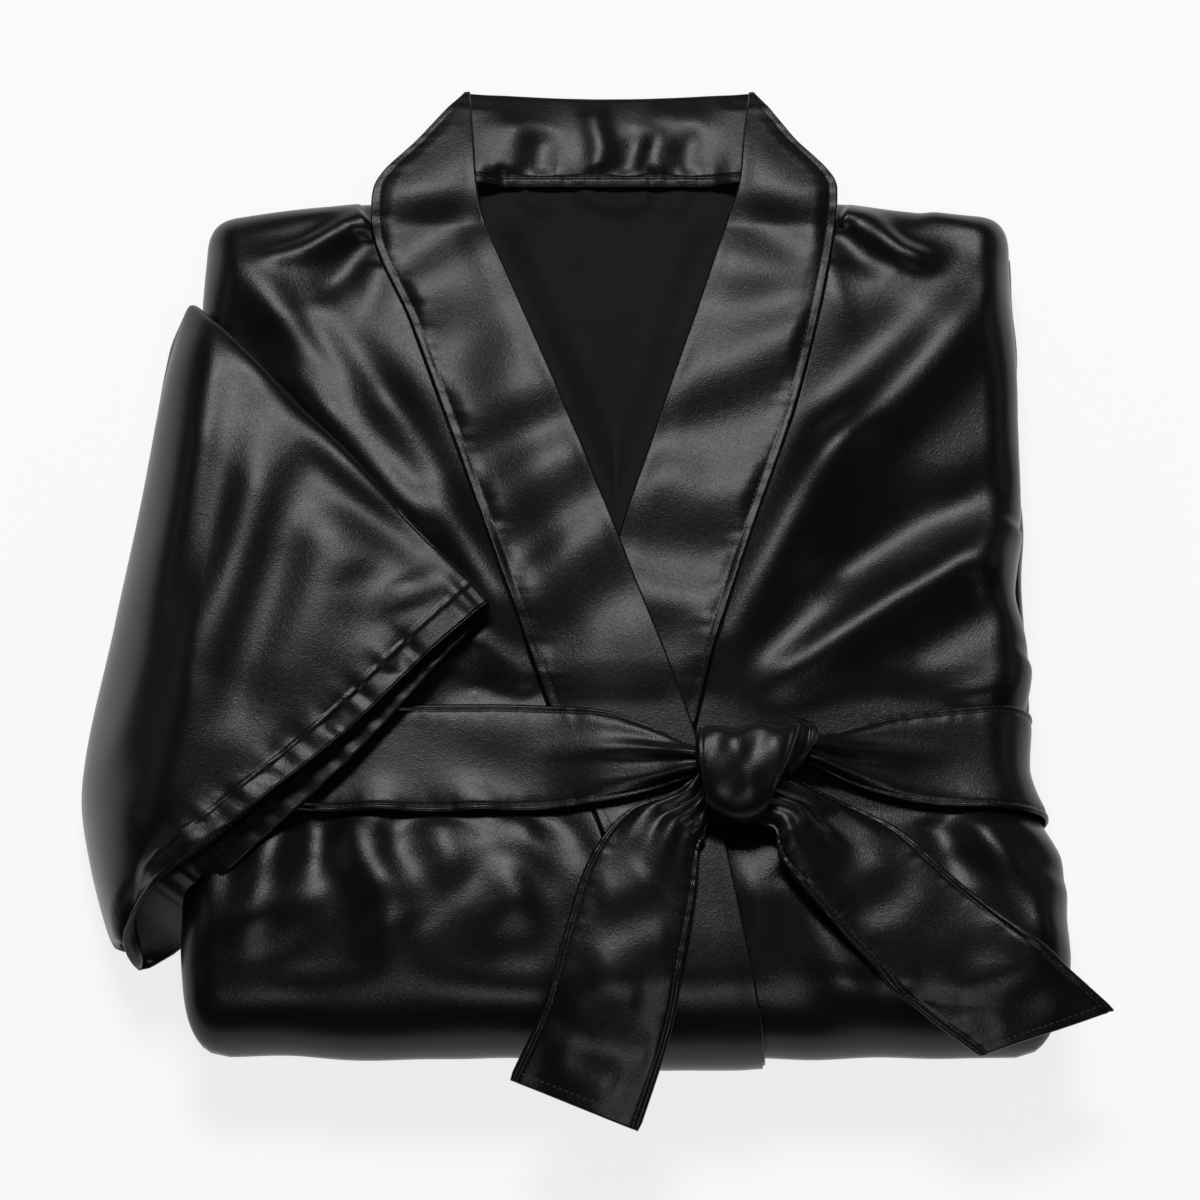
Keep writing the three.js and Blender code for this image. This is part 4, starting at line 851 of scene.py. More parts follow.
collar_part = np.linspace(262, 176, 52)
right_stations = np.concatenate([collar_part, np.linspace(176, -190, 206)[1:],
                                 -221 + FRONT_ROLL * (np.linspace(1, 0, 13)[1:]) ** 1.5])
left_stations = np.concatenate([collar_part, np.linspace(176, -73, 140)[1:]])
neckband_right_piece, right_sewn = neckband_piece(
    "neckband_right", RIGHT_BAND, "left", right_stations, RIGHT_BAND_CREASES, 31, overlap_rise, True)
neckband_left_piece, left_sewn = neckband_piece(
    "neckband_left", LEFT_BAND, "right", left_stations, LEFT_BAND_CREASES, 37, lambda x, y: 0 * x, False)
right_band_stitches = stitched("neckband_right_stitches", [right_sewn], "neckband_satin")
left_band_stitches = stitched("neckband_left_stitches", [left_sewn], "neckband_satin")

BACK_BAND_CREASES = (
    (((-46, 213), (-44, 230), (-38, 252)), 6, 7, 1.6, .1, .4),
    (((-28, 212), (-28, 226), (-24, 242)), 6, 6, -1.4, .1, .4),
    (((-3, 211), (0, 228), (-3, 246), (0, 259)), 5, 5, 2.0, .05, .3),
    (((10, 211), (16, 226), (22, 242)), 6, 5, -1.5, .05, .4),
    (((27, 212), (25, 226), (32, 242)), 5, 6, 1.5, .05, .4),
    (((42, 212), (42, 226), (46, 244)), 5, 5, -1.2, .1, .4),
    (((-60, 246), (-40, 242), (-18, 248)), 9, 7, 1.0, .3, .4),
    (((18, 250), (40, 244), (60, 250)), 7, 9, 1.0, .3, .4),
)
NECK_SEAM_STRIP = 4.6             # sewn-down seam allowance along the back neck
BACK_STITCH, BACK_STITCH_SPAN = 2.4, (-54, 62)
UNDER_BANDS = 9                   # how far it reaches under each neckband at its seam
TOP_CURVE = 3.6                   # how far its top edge dips in the middle


def back_neckband_piece():
    depth, strip_depth, strip_rows = 54, 7, 13
    rows = np.concatenate([np.linspace(0, depth - strip_depth, 34),
                           np.linspace(depth - strip_depth, depth, strip_rows + 1)[1:]])
    t = 1 - rows[:, None] / depth
    across = np.linspace(0, 1, 92)[None, :]
    y = mix(COLLAR["seam_y"], COLLAR["top_y"] - 0.4, t) - TOP_CURVE * t * arch_across(across)
    left = mix(COLLAR["seam_left"], COLLAR["top_left"], t) - UNDER_BANDS * (1 - t)
    right = mix(COLLAR["seam_right"], COLLAR["top_right"], t) + UNDER_BANDS * (1 - t)
    x = mix(left, right, across)
    z = mix(COLLAR["seam_z"] - 3.5, COLLAR["top_z"] - 0.6, t) + 2.4 * np.sin(math.pi * t) ** 0.8
    under_band = band_height(x, y) - 1.4      # its ends rise to the neckbands' undersides
    z = mix(z, under_band, smooth(0.16, 0.05, np.minimum(across, 1 - across)))
    sheet = Sheet(grid_of(x, y, z))
    from_seam = sheet.y - COLLAR["seam_y"]
    lie = crease_height(BACK_BAND_CREASES, sheet.x, sheet.y) * smooth(3, 12, from_seam)
    lie = lie + 0.22 * puckers(sheet.x, np.abs(from_seam - NECK_SEAM_STRIP), 10, 6, 41)
    lie = lie + 0.8 * smooth(5.6, 2.6, from_seam) - 0.7 * bell(from_seam, NECK_SEAM_STRIP, 0.7)
    sheet.move_out(lie)
    seam_row = len(t) - 1 - BACK_STITCH / (strip_depth / strip_rows)
    first, last = BACK_STITCH_SPAN
    sewn = trimmed(line_places(sheet, row=seam_row), lambda p: (p[:, 0] > first) & (p[:, 0] < last))
    sheet.roll_edge(["bottom"], 0.8, turn=100, steps=3)
    sheet.roll_edge(["top"], 1.0)
    return dressed("neckband_back", sheet, DOUBLE_WALL, "neckband_satin"), sewn


neckband_back_piece, back_sewn = back_neckband_piece()
back_band_stitches = stitched("neckband_back_stitches", [back_sewn], "neckband_satin")


# ---- the back panel, seen inside the neck opening ----
def opening_sag(x, y):
    depth = np.minimum(x - RIGHT_BAND("inner", y), LEFT_BAND("inner", y) - x)
    return np.where(y > -40, 2.8 * smooth(-24, -15, depth) + V_DEPTH * smooth(2, 22, depth), 0)


BACK_PANEL_CREASES = (
    (((-38, 208), (-32, 200), (-20, 196)), 4, 4, 1.2, .05, .5),
    (((-12, 208), (0, 201), (14, 199), (26, 206)), 4, 4, 1.3, .1, .1),
    (((40, 208), (36, 198), (28, 192)), 4, 4, 1.1, .05, .5),
    (((-40, 190), (-20, 160), (-6, 120), (0, 80)), 16, 14, 0.9, .3, .3),
    (((48, 188), (34, 150), (16, 110)), 14, 16, 0.8, .3, .3),
)


def back_panel_piece():
    stations = np.concatenate([np.linspace(COLLAR["seam_y"] + 18, 180, 32), np.linspace(180, 10, 78)[1:]])
    y = stations[:, None]
    high = np.minimum(y, 200)
    x = mix(RIGHT_BAND("inner", high) - TUCK, LEFT_BAND("inner", high) + TUCK, np.linspace(0, 1, 56)[None, :])
    on_packet = (packet_height(x, np.minimum(y, COLLAR["leave_y"])) - CLOTH - GAP
                 - opening_sag(x, np.minimum(y, 184)) + 2.5)
    z = mix(on_packet, COLLAR["seam_z"] - 5.5, smooth(COLLAR["leave_y"] - 8, COLLAR["seam_y"], y))
    sheet = Sheet(grid_of(x, y, z))
    lie = crease_height(BACK_PANEL_CREASES, sheet.x, sheet.y) + 0.2 * swell(sheet.x, sheet.y, 60, 47)
    depth = np.minimum(sheet.x - RIGHT_BAND("inner", sheet.y), LEFT_BAND("inner", sheet.y) - sheet.x)
    lie = lie * smooth(-2, 8, depth) + 0.35 * puckers(sheet.x, np.abs(COLLAR["seam_y"] - sheet.y), 8, 6, 53)
    sheet.move_out(lie)
    return dressed("back_panel", sheet, CLOTH_WALL, "satin_reverse")


back_panel = back_panel_piece()


# ---- the right sleeve, laid across the front ----
SLEEVE_CREASES = (
    (((-184, 120), (-178, 90), (-173, 60), (-181, 9), (-202, -38), (-207, -83), (-208, -126)),
     14, 13, 2.4, .15, .15),
    (((-168, 96), (-161, 52), (-165, 8), (-185, -50), (-190, -92)), 9, 9, -1.5, .2, .3),
    (((-158, 84), (-148, 55), (-145, 26), (-150, -17), (-168, -66), (-172, -92)), 14, 15, 2.8, .2, .2),
    (((-130, 32), (-128, 0), (-140, -40), (-152, -82)), 14, 14, -1.5, .2, .3),
    (((-142, 60), (-120, 38), (-98, 20), (-68, -6)), 8, 9, 2.0, .2, .2),
    (((-176, 118), (-146, 84), (-112, 48), (-84, 18)), 6, 6, -1.2, .2, .2),
    (((-112, 4), (-104, -18), (-108, -48)), 11, 12, 1.4, .3, .4),
    (((-92, -6), (-84, -24)), 10, 9, -1.0, .4, .4),
    (((-118, -86), (-112, -70), (-104, -52)), 5, 5, 1.1, .1, .6),
    (((-146, -108), (-140, -90), (-128, -70)), 5, 5, 1.2, .1, .6),
    (((-170, -130), (-168, -112), (-158, -88)), 5, 6, 1.2, .1, .6),
    (((-90, -58), (-88, -44), (-80, -30)), 4.5, 5, 1.1, .1, .6),
)


def sleeve_place(u, v):
    """Middle of the flattened sleeve: u from the cuff's low corner (0) to the upper fold (1),
    v from the turn edge (0) to the cuff (1), or back under beside the packet (down to -1)."""
    def read(table, place):
        return np.stack([table(c, place) for c in "xyz"], -1)
    u, v = np.broadcast_arrays(u, v)
    turn, hem = read(SLEEVE_TURN, u), read(SLEEVE_HEM, u)
    w = np.maximum(v, 0)
    fold = read(SLEEVE_UPPER_FOLD, w)
    flat = mix(turn, hem, w[..., None])
    run = np.hypot(flat[..., 0] - turn[..., 0], flat[..., 1] - turn[..., 1])
    slope = np.clip(1.05 * (PACKET_SIDE_X - turn[..., 0]), 24, 60)    # from the turn edge up
    climb = np.sin(np.minimum(1, run / slope) * math.pi / 2) ** 0.55
    level = np.minimum(np.maximum(hem[..., 2], 64) + 1.5 * np.sin(math.pi * w), hem[..., 2] + 60 * (1 - w))
    z = mix(mix(turn[..., 2], level, climb), mix(turn[..., 2], hem[..., 2], climb), w ** 3)
    z = z + (big_fold_height(SLEEVE_BIG_FOLDS, flat[..., 0], flat[..., 1])
             * smooth(0, 0.25, w) * smooth(0, 0.2, u))
    front = grid_of(flat[..., 0], flat[..., 1], z)
    front = mix(front, fold, smooth(0.8, 1, u)[..., None])
    # The layer beside the packet ends in a slant at the cuff's low corner.
    t = (np.maximum(-v, 0) * mix(0.72, 1, smooth(0, 0.12, u)))[..., None]
    bend = grid_of(turn[..., 0] - SLEEVE_TUCK["bulge"], turn[..., 1],
                   np.maximum(SLEEVE_TUCK["z"], 0.35 * turn[..., 2]))
    end = grid_of(SLEEVE_TUCK["x"], turn[..., 1], SLEEVE_TUCK["z"])
    under = turn * (1 - t) ** 2 + 2 * bend * t * (1 - t) + end * t * t
    return np.where((v < 0)[..., None], under, front)


CUFF_ROUND = 236            # from the cuff's low corner to the upper fold
CUFF_ROLL = 0.9
SLEEVE_WALL = 1.2


def cuff_stitch_line(sheet, columns, from_cuff):
    """Places and normals a hem's depth from the cuff, on these columns of the sleeve's grid."""
    grid, normals = sheet.points[sheet.ids], sheet.normals()[sheet.ids]
    line, normal = [], []
    for k in columns:
        distance = from_cuff[::-1, k]
        line.append(read_along(HEM_BAND, distance, grid[::-1, k]))
        normal.append(read_along(HEM_BAND, distance, normals[::-1, k]))
    return np.array(line), unit(np.array(normal))


def sleeve_piece():
    close = np.array([0, .002, .006, .012, .02, .032, .046])
    along = np.concatenate([close, np.linspace(0.058, 0.942, 98), 1 - close[::-1]])
    side = np.sqrt(np.maximum(0, 1 - np.abs(2 * along - 1) ** 14))
    along = np.concatenate([along, along[::-1][1:-1]])
    side = np.concatenate([side, -side[::-1][1:-1]])      # 1 on the upper layer, -1 on the lower one
    v = np.concatenate([np.linspace(-1, 0, 19)[:-1], np.linspace(0, .9, 84), np.linspace(.9, 1, 22)[1:]])
    v = v[:, None]
    u = mix(0.004, 0.996, along)[None, :]
    # Its direction is read over a wide step, so that it turns gently at the cuff's low corner.
    e = 0.032
    du = sleeve_place(np.minimum(1, u + e), v) - sleeve_place(np.maximum(0, u - e), v)
    dv = sleeve_place(u, np.minimum(1, v + e)) - sleeve_place(u, np.maximum(-1, v - e))
    normal = unit(np.cross(dv, du))
    mouth = smooth(0.72, 1, v)
    half = mix(SLEEVE_TUBE, SLEEVE_HEM("mouth", u), mouth) / 2
    lip = np.maximum(0, -side) * mouth * 0.8
    place = sleeve_place(u, v)
    place[..., 0] += SLEEVE_HEM("lip_x", u) * lip
    place[..., 1] += SLEEVE_HEM("lip_y", u) * lip
    place = place + normal * (side * half)[..., None]
    # Rings run from the cuff's low corner over the top to the upper fold and back below.
    side = side[::-1]
    sheet = Sheet(place[:, ::-1], ring=True)
    x, y = sheet.x, sheet.y
    upper, v_all, u_all = (spread(values, half.shape) for values in (side, v, u[:, ::-1]))
    turn_line = sleeve_place(u_all, 0 * u_all)
    hem_line = sleeve_place(u_all, 0 * u_all + 1)
    length = np.linalg.norm(hem_line - turn_line, axis=1)
    from_cuff = (1 - v_all) * length
    round_cuff = u_all * CUFF_ROUND
    lie = crease_height(SLEEVE_CREASES, x, y) * smooth(0.0, 0.8, upper)
    lie = lie + 0.6 * swell(x, y, 80, 61) * smooth(0, .6, np.abs(upper)) * smooth(-.3, .3, v_all)
    lie = lie - 0.5 * bell(from_cuff, HEM_BAND, 0.9)
    lie = lie + 0.5 * puckers(round_cuff + 20 * (upper < 0), np.abs(from_cuff - HEM_BAND * .7), 14, 10, 67)
    sheet.move_out(lie * smooth(0, .5, np.abs(upper)) * smooth(0.02, 0.14, u_all))
    # The sewn line of the hem, on the upper layer and on the lip of the lower one.
    from_cuff, length = from_cuff.reshape(half.shape), length.reshape(half.shape)
    long_enough = length[-1] > 1.8 * HEM_BAND
    lines = [cuff_stitch_line(sheet, np.flatnonzero(layer & long_enough), from_cuff)
             for layer in (side > 0.6, side < -0.6)]
    # The cuff's folded edge turns in.
    rim, inside = sheet.ids[-1, ::-1], sheet.ids[-2, ::-1]
    base, n = sheet.points[rim], sheet.normals()[rim]
    out = base - sheet.points[inside]
    out = unit(out - n * dot(out, n))
    sheet.hang(rim, [base + out * math.sin(a) * CUFF_ROLL - n * CUFF_ROLL * (1 - math.cos(a))
                     for a in np.radians([30, 60, 90])], closed=True)
    return dressed("sleeve_right", sheet, SLEEVE_WALL, "satin"), lines


sleeve_right_piece, sleeve_sewn = sleeve_piece()
sleeve_stitches = stitched("sleeve_hem_stitches", sleeve_sewn, "satin")


# ---- the other sleeve, folded behind ----
def left_sleeve_piece():
    y = np.linspace(LEFT_SLEEVE_SPAN[1], LEFT_SLEEVE_SPAN[0], 100)[None, :]
    step = np.linspace(0, 1, 24)[:, None]
    edge = SIDES("right", y)
    ceiling = packet_height(edge, y) - LEFT_SLEEVE_BELOW_TOP
    height, inset = LEFT_SLEEVE_FOLD("height", step), LEFT_SLEEVE_FOLD("inset", step)
    wave = 0.5 * np.sin(y / 17.0) + 0.4 * np.sin(y / 7.3 + 2)
    x = edge + 0.6 * np.maximum(0, 195 - edge) - inset + wave * np.sin(math.pi * step)
    sheet = Sheet(grid_of(x, y, height * ceiling))
    for side in ("left", "right"):
        sheet.roll_edge([side], 0.8, turn=90, steps=3)
    return dressed("sleeve_left", sheet, CLOTH_WALL, "satin")


sleeve_left_piece = left_sleeve_piece()


# ---- the belt ----
LEAST_LIFT = 0.6


def lift_under_belt(x, y):
    return LEAST_LIFT + overlap_rise(x, y) * (1 - smooth(75, 115, x)) + BELT_LIFT + DOUBLE


BELT_WIDTH, TAIL_LENGTH = 50, 150
BELT_STITCH = 2.3
BELT_MIDDLE_Y = -88
BELT_KNOT_X = dict(left=41, right=98)      # where the stretch from each side runs into the knot
BELT_PARTS = close_edges(BELT_WIDTH)
SEWN_LINES = [grid_place(part, BELT_PARTS)
              for part in (BELT_STITCH / BELT_WIDTH, 1 - BELT_STITCH / BELT_WIDTH)]


def belt_profile(t, width, seed, run):
    """The belt's own make: stitched edges a little drawn in, a soft middle."""
    from_edge = np.minimum(t, 1 - t) * width
    lie = 0.35 * clamp(from_edge / 6) - 0.42 * bell(from_edge, BELT_STITCH, 0.7)
    lie = lie + 0.28 * bell(from_edge, 0.9, 0.6)
    return lie + 0.16 * puckers(run, np.abs(from_edge - BELT_STITCH), 9, 4.5, seed)


def pleated(lie, pleats, across, from_knot):
    """Adds the folds that run into the knot. Each: its place across the belt (0 upper or left,
    1 lower or right), how far it drifts, its width, rise and length."""
    for place, drift, width, rise, length in pleats:
        centre = place + drift * from_knot / length
        lie = lie + rise * smooth(length, 0, from_knot) * bell(across, centre, width)
    return lie


def belt_stretch_piece(name, table, side, reach, pleats, seed):
    inwards = 1 if side == "left" else -1
    from_side = spacing(reach, SIDE_ROLL, 0, 1.8)[::inwards][None, :]
    t = BELT_PARTS[:, None]
    nominal = SIDES(side, BELT_MIDDLE_Y) + inwards * from_side
    y = mix(table("upper", nominal), table("lower", nominal), t)
    x = mix(SIDES(side, y) + inwards * from_side, nominal, smooth(SIDE_ROLL, 3 * SIDE_ROLL, from_side))
    sheet = Sheet(grid_of(x, y, packet_height(x, y)))
    arch = (table("arch", x) * arch_across(t)).reshape(-1)
    across = spread(t, x.shape)
    turn_rows = 8
    path = turn_down(sheet, [side], turn_rows, end=0.8, share=0.0, reach=0.0)
    across = np.concatenate([across] + [across[path]] * turn_rows)
    arch = np.concatenate([arch, np.zeros(len(across) - len(arch))])
    sheet.move_out(lift_under_belt(sheet.x, sheet.y) + arch)
    x, y = sheet.x, sheet.y
    lie = pleated(belt_profile(across, BELT_WIDTH, seed, x), pleats, across, np.abs(x - BELT_KNOT_X[side]))
    lie = lie + 0.25 * swell(x, y, 40, seed + 5) * smooth(0, 12, np.minimum(across, 1 - across) * BELT_WIDTH)
    sheet.move_out(lie)
    lines = [line_places(sheet, row=row) for row in SEWN_LINES]
    sheet.roll_edge(["top"], 1.0)
    sheet.roll_edge(["bottom"], 1.0)
    return dressed(name, sheet, DOUBLE_WALL, "belt_satin"), lines


belt_right_piece, belt_right_sewn = belt_stretch_piece(
    "belt_right_stretch", BELT_RIGHT, "left", 231,
    ((.16, -.05, .09, 1.6, 60), (.42, .04, .10, 2.0, 80),
     (.60, -.02, .05, -1.2, 50), (.80, .03, .09, 1.6, 60)), 71)
belt_left_piece, belt_left_sewn = belt_stretch_piece(
    "belt_left_stretch", BELT_LEFT, "right", 98,
    ((.20, -.06, .09, 1.4, 50), (.46, .02, .11, 2.0, 70),
     (.64, .04, .05, -1.2, 40), (.82, .05, .09, 1.4, 50)), 73)
belt_right_stitches = stitched("belt_right_stitches", belt_right_sewn, "belt_satin")
belt_left_stitches = stitched("belt_left_stitches", belt_left_sewn, "belt_satin")


def tail_piece(name, table, droop, pleats, creases, seed):
    along = np.linspace(table.along[0], 1, 96)
    s, t = along[:, None], BELT_PARTS[None, :]
    x = mix(table("ax", s), table("bx", s), t)
    y = mix(table("ay", s), table("by", s), t)
    packet = packet_height(x, y)
    side, _, front = edge_turn(x, y)
    # The end goes straight on from where the packet turns down.
    row = (np.maximum(side, front) >= 0.5).argmax(0)
    leaves, leave_z = (np.polyval(np.polyfit(BELT_PARTS, values, 2), BELT_PARTS)[None, :]
                       for values in (along[row], packet[row, np.arange(len(BELT_PARTS))]))
    straight = mix(leave_z, mix(droop[0], droop[1], t), (s - leaves) / (1 - leaves))
    z = mix(packet, straight, smooth(-0.09, 0.02, s - leaves))
    sheet = Sheet(grid_of(x, y, z))
    s, t = spread(s, z.shape), spread(t, z.shape)
    sheet.move_out(lift_under_belt(sheet.x, sheet.y) + table("lift", s)
                   + table("arch", s) * arch_across(t))
    x, y = sheet.x, sheet.y
    lie = belt_profile(t, BELT_WIDTH, seed, s * TAIL_LENGTH)
    lie = pleated(lie - 0.42 * bell((1 - s) * TAIL_LENGTH, BELT_STITCH, 0.8), pleats, t, s)
    inside = smooth(0, 8, np.minimum(t, 1 - t) * BELT_WIDTH)
    lie = lie + (crease_height(creases, x, y) + 0.25 * swell(x, y, 36, seed + 5)) * inside
    sheet.move_out(lie)
    # Sewn down both sides as far as the line across its end.
    end_row = grid_place(1 - BELT_STITCH / TAIL_LENGTH, along)
    between = slice(int(SEWN_LINES[0]) + 1, int(SEWN_LINES[1]) + 1)
    lines = [[part[:int(end_row) + 1] for part in line_places(sheet, column=column)] for column in SEWN_LINES]
    lines.append([part[between] for part in line_places(sheet, row=end_row)])
    sheet.roll_edge(["right", "bottom", "left"], 1.0)
    return dressed(name, sheet, DOUBLE_WALL, "belt_satin"), lines


tail_right_piece, tail_right_sewn = tail_piece(
    "belt_tail_right", TAIL_RIGHT, TAIL_DROOP["right"],
    ((.20, .05, .10, 2.4, .5), (.40, .04, .06, -1.6, .45),
     (.62, -.02, .10, 2.6, .55), (.84, 0, .07, 1.6, .5)),
    ((((24, -150), (10, -158), (-4, -160)), 7, 8, 1.0, .2, .3),
     (((34, -180), (14, -184), (-8, -196)), 8, 8, 1.2, .2, .3),
     (((20, -206), (0, -204), (-18, -216)), 8, 7, 1.2, .2, .3),
     (((26, -226), (4, -228), (-16, -224)), 7, 7, -1.0, .2, .3),
     (((10, -240), (-8, -232), (-26, -228)), 7, 6, 1.2, .2, .3)), 83)
tail_left_piece, tail_left_sewn = tail_piece(
    "belt_tail_left", TAIL_LEFT, TAIL_DROOP["left"],
    ((.16, .05, .08, 1.6, .45), (.38, .06, .09, 2.4, .5),
     (.58, .04, .06, -1.6, .45), (.82, 0, .09, 2.2, .5)),
    ((((100, -160), (116, -152), (130, -136)), 7, 8, 1.0, .2, .3),
     (((112, -178), (132, -170), (150, -150)), 8, 8, 1.1, .2, .3),
     (((134, -196), (156, -192), (172, -172)), 8, 7, -1.0, .2, .3),
     (((150, -208), (172, -206), (190, -184)), 8, 7, 1.2, .2, .3),
     (((168, -218), (190, -212), (206, -196)), 7, 6, 1.0, .2, .3)), 89)
tail_right_stitches = stitched("belt_tail_right_stitches", tail_right_sewn, "belt_satin")
tail_left_stitches = stitched("belt_tail_left_stitches", tail_left_sewn, "belt_satin")


# ---- the knot ----
def wrap_grid(left_line, right_line, base, height, power, bow, dip, columns, steps):
    """Belt wound once over: its left and right edge are (x, y) lines from the far side to
    the near side; it rises over the line between them and goes back under. Its edges bow
    outward by `bow` halfway round, and its near side hangs forward by `dip` at the middle.
    Gives the grid, and for each of its places the part across (0 to 1) and the angle round."""
    theta = np.radians(np.linspace(*WRAP_ANGLES, steps))[:, None]
    s = np.linspace(0, 1, columns)[None, :]
    near = (1 - np.cos(theta)) / 2
    near_wide = near ** power
    (lx, ly), (rx, ry) = ([mix(far, close, near_wide) for far, close in zip(*line)]
                          for line in (left_line, right_line))
    x = mix(lx, rx, s) + bow * (2 * s - 1) * np.sin(math.pi * near_wide)
    y = mix(ly, ry, s) - dip * np.sin(math.pi * s) ** 0.8 * smooth(0.2, 1, near)
    rise = np.maximum(np.sin(theta), -0.5)
    z = base + height * np.sign(rise) * np.abs(rise) ** 0.62
    return grid_of(x, y, z), spread(s, x.shape), spread(theta, x.shape)


WRAP_ANGLES = (-25, 205)      # from under the far side, over the top, to under the near side
KNOT_PLACE, KNOT_LIFT = (66, -101.5), 11
KNOT_TURN_PLACE, KNOT_TURN_LIFT = (94.6, -85), 10
KNOT_CREASES = (
    # place across, lean as it goes round, width, rise
    (.20, -.70, .12, -.8), (.38, .90, .13, .9), (.62, -.80, .13, -.8), (.80, .90, .12, .7),
)


def knot_piece():
    base = float(packet_height(*KNOT_PLACE)) + KNOT_LIFT
    grid, s, theta = wrap_grid(((43, -82), (46, -120)), ((90, -77), (73.5, -123)), base, 17.5,
                               1.08, 1.8, 5.0, 60, 64)
    grid[..., 2] += (1.6 * np.sin(math.pi * clamp((s - .02) / .9)) ** 0.6).reshape(grid.shape[:2])
    sheet = Sheet(grid)
    w = theta / math.pi
    top = np.sin(np.clip(theta, 0, math.pi))
    lie = 0 * s
    for place, lean, width, rise in KNOT_CREASES:
        lie = lie + (rise * bell(s - place, lean * (w - .4), width) * smooth(0, .4, top)
                     * mix(1, .5, smooth(.5, .85, w)))
    lie = lie - 0.6 * bell(s, .055, .012) + 0.5 * bell(s, .025, .015)
    lie = lie - 2.0 * smooth(.05, 0, s) ** 2 - 1.5 * smooth(.96, 1, s) ** 2
    sheet.move_out(lie)
    sheet.roll_edge(["left"], 2.2, turn=110, steps=6)
    sheet.roll_edge(["right"], 1.4, turn=110, steps=5)
    return dressed("belt_knot", sheet, DOUBLE_WALL, "belt_satin")


def knot_turn_piece():
    base = float(packet_height(*KNOT_TURN_PLACE)) + KNOT_TURN_LIFT
    grid, s, _ = wrap_grid(((83, -75.5), (79, -102)), ((96, -76.5), (90, -100)), base, 12.5,
                           1.0, 3.2, 1.5, 34, 44)
    sheet = Sheet(grid)
    lie = 1.2 * bell(s, .35, .25) - 0.7 * bell(s, .78, .07)
    lie = lie - 2.5 * smooth(.85, 1, s) ** 2
    sheet.move_out(lie)
    sheet.roll_edge(["right"], 1.6, turn=110, steps=5)
    return dressed("belt_knot_turn", sheet, DOUBLE_WALL, "belt_satin")


knot_object = knot_piece()
knot_turn_object = knot_turn_piece()


# ---- the folded layers under the fronts ----
EDGE_LAYERS = (
    # top and bottom as parts of the height, how far in the fold lies, its depth
    (.97, .74, 4.2, 8.5), (.74, .50, 2.6, 7.5), (.50, .25, 3.6, 7.0), (.25, .0, 1.8, 5.5),
)
FOLD_ANGLE = 80
FLOOR_CLEARANCE = 0.15


def folded_layers_piece():
    sheet = Sheet(panel_grid(None, None, width=390, step=4.4))
    path, _ = sheet.border(["right", "bottom", "left", "top"])
    edge, out, share, reach = turn_directions(sheet.points, path, True)
    spare = CLOTH + GAP
    # Down the inside of the panels' turned edge ...
    normal, sag = sheet.normals(), 0.7 + 1.3 * opening_sag(sheet.x, sheet.y)
    sheet.points = sheet.points - normal * spare
    sheet.points[:, 2] -= sag
    lines = []
    for step in np.linspace(.25, .75, 6):
        lower = step - .25
        lines.append(turn_row(edge, out, share, reach, step, spare + 3.2 * lower, spare, 3.6 * lower))
    # ... and then one folded edge below another to the floor.
    end_z = turn_row(edge, out, share, reach, 1.0)[:, 2] - 0.4
    end_inset = SIDE_TURN("inset", 1) + spare + 2
    front_inset = FRONT_TURN_RADIUS * (1 - math.cos(math.radians(FRONT_TURN_ANGLE))) + spare + 2
    round_packet = np.concatenate([[0], np.cumsum(np.linalg.norm(np.diff(edge[:, :2], axis=0), axis=1))])
    for number, (high, low, inset, depth) in enumerate(EDGE_LAYERS):
        wander = (1.1 * np.sin(round_packet / (31 + 7 * number) + number)
                  + 0.6 * np.sin(round_packet / (12.5 + 3 * number) + 2.1 * number))
        for angle in np.radians(np.linspace(FOLD_ANGLE, -FOLD_ANGLE, 9)):
            height = mix(low, high, (1 + math.sin(angle) / math.sin(math.radians(FOLD_ANGLE))) / 2)
            here = inset + depth * (1 - math.cos(angle)) + wander * math.cos(angle) * 0.8
            fold_inset = mix(np.maximum(here, .4), end_inset, share)
            lines.append(turned_places(edge, out, reach, fold_inset, front_inset,
                                       height * end_z + FLOOR_CLEARANCE))
    last = sheet.hang(path, lines, closed=True)
    # The underside, closed to its middle.
    middle = np.array([5, -5, FLOOR_CLEARANCE])
    rim = sheet.points[last]
    inner_rim = sheet.hang(last, [mix(rim, middle, t) for t in (.2, .4, .6, .8, .93)], closed=True)
    centre = len(sheet.points)
    sheet.points = np.vstack([sheet.points, middle])
    a, b = inner_rim[0::2], inner_rim[1::2]
    sheet.faces = np.vstack([sheet.faces, np.stack([0 * a + centre, a, b, np.roll(a, -1)], 1)])
    return dressed("folded_layers", sheet, CLOTH_WALL, "satin")


layers_piece = folded_layers_piece()


# ---- floor, light and camera ----
FLOOR_SIZE, FLOOR_DROP = 12, 0.0006      # in metres; it lies just clear of the packet
WHITE = (1, 1, 1, 1)


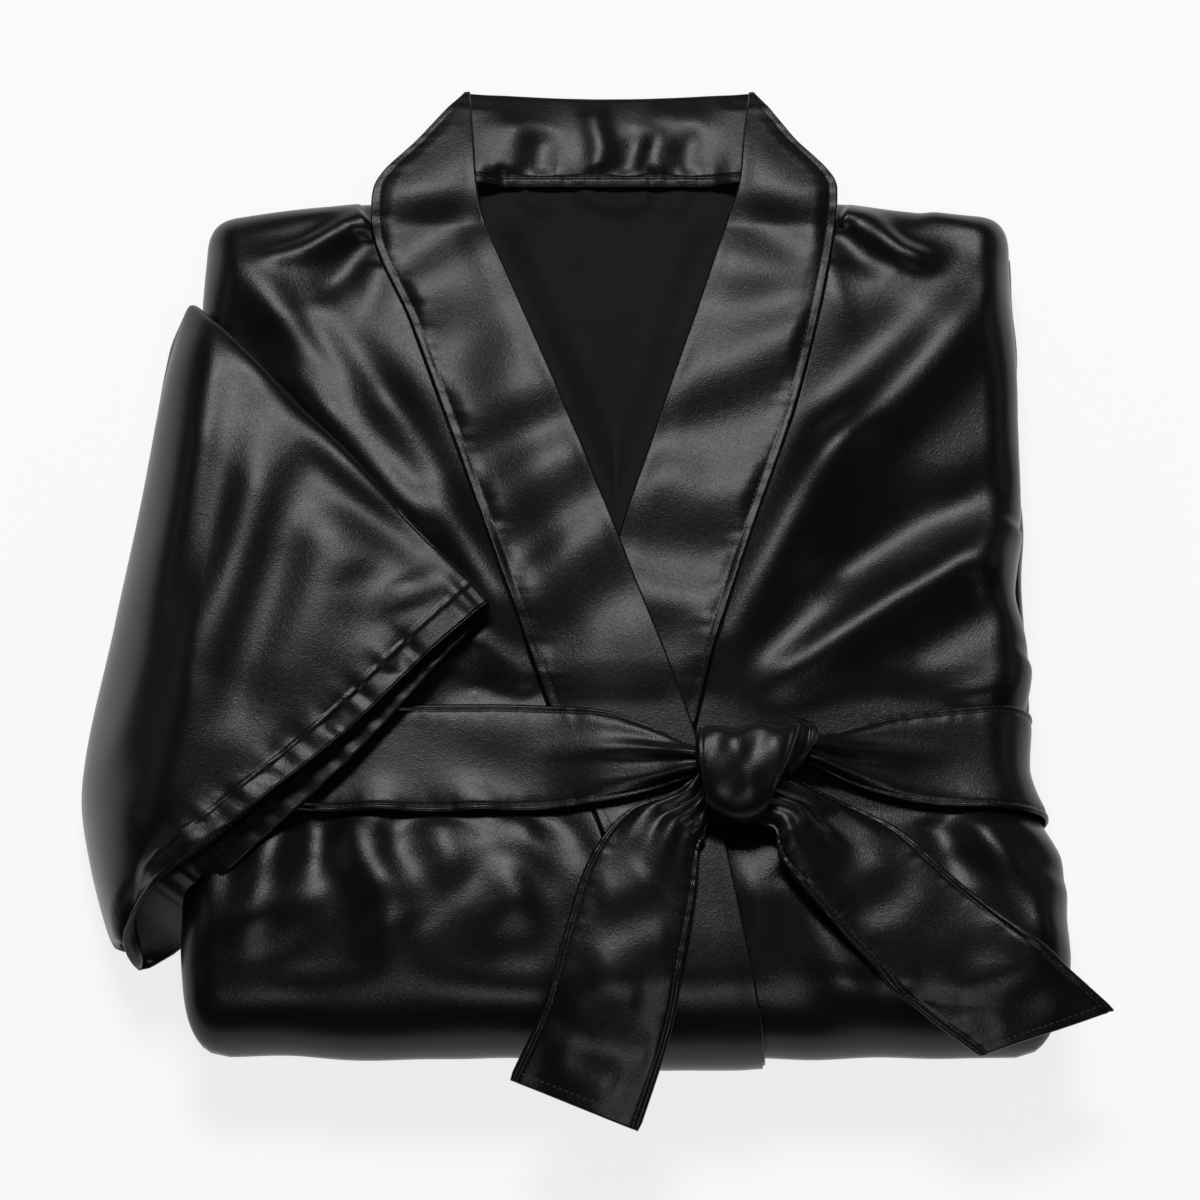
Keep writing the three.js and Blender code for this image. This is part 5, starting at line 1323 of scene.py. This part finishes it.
def floor_finish():
    """Lit from within, so that it reads as an even pale ground."""
    material, tree, surface = finish("pale_floor")
    plug(tree, surface, {"Base Color": (0.35, 0.35, 0.35, 1), "Roughness": 0.9, "Specular IOR Level": 0.1,
                         "Emission Color": WHITE, "Emission Strength": 0.80})
    return material


bpy.ops.object.select_all(action="DESELECT")
bpy.ops.mesh.primitive_plane_add(size=FLOOR_SIZE, location=(0, 0, -FLOOR_DROP))
floor = bpy.context.object
floor.name = "floor"
floor.data.materials.append(floor_finish())

world = bpy.data.worlds.new("studio")
bpy.context.scene.world = world
world.use_nodes = True
plug(world.node_tree, world.node_tree.nodes["Background"], {"Color": WHITE, "Strength": 0.03})

SOFTBOXES = (
    # name, direction from the packet, distance and size in metres, power in watts
    ("key_softbox", (-0.06, 0.74, 1.0), 4.5, (1.6, 1.2), 76),
    ("front_softbox", (0.05, -0.44, 1.0), 3.0, (1.1, 0.6), 8),
    ("left_softbox", (-1.0, 0.4, 0.62), 3.0, (1.4, 0.8), 1.5),
    ("right_softbox", (1.0, 0.4, 0.62), 3.0, (1.4, 0.8), 1.5),
)
for name, direction, distance, size, power in SOFTBOXES:
    light = bpy.data.lights.new(name, "AREA")
    light.shape = "RECTANGLE"
    light.size, light.size_y = size
    light.energy = power
    place = Vector(direction).normalized() * distance
    holder = in_scene(name, light)
    holder.location = place
    holder.rotation_euler = (-place).to_track_quat("-Z", "Y").to_euler()

CAMERA = dict(elevation=66, distance=2150, lens=140.2, sensor=36, look=(0, 0, 30))
tilt = math.radians(CAMERA["elevation"])
look = np.array(CAMERA["look"], float) + PACKET_MIDDLE
spot = look + CAMERA["distance"] * np.array([0, -math.cos(tilt), math.sin(tilt)])
camera_data = bpy.data.cameras.new("camera")
camera_data.lens = CAMERA["lens"]
camera_data.sensor_width = CAMERA["sensor"]
camera = in_scene("camera", camera_data)
camera.location = (spot * MM).tolist()
camera.rotation_euler = (math.pi / 2 - tilt, 0, 0)
bpy.context.scene.camera = camera

bpy.context.scene.view_settings.view_transform = "Standard"

bpy.context.view_layer.update()
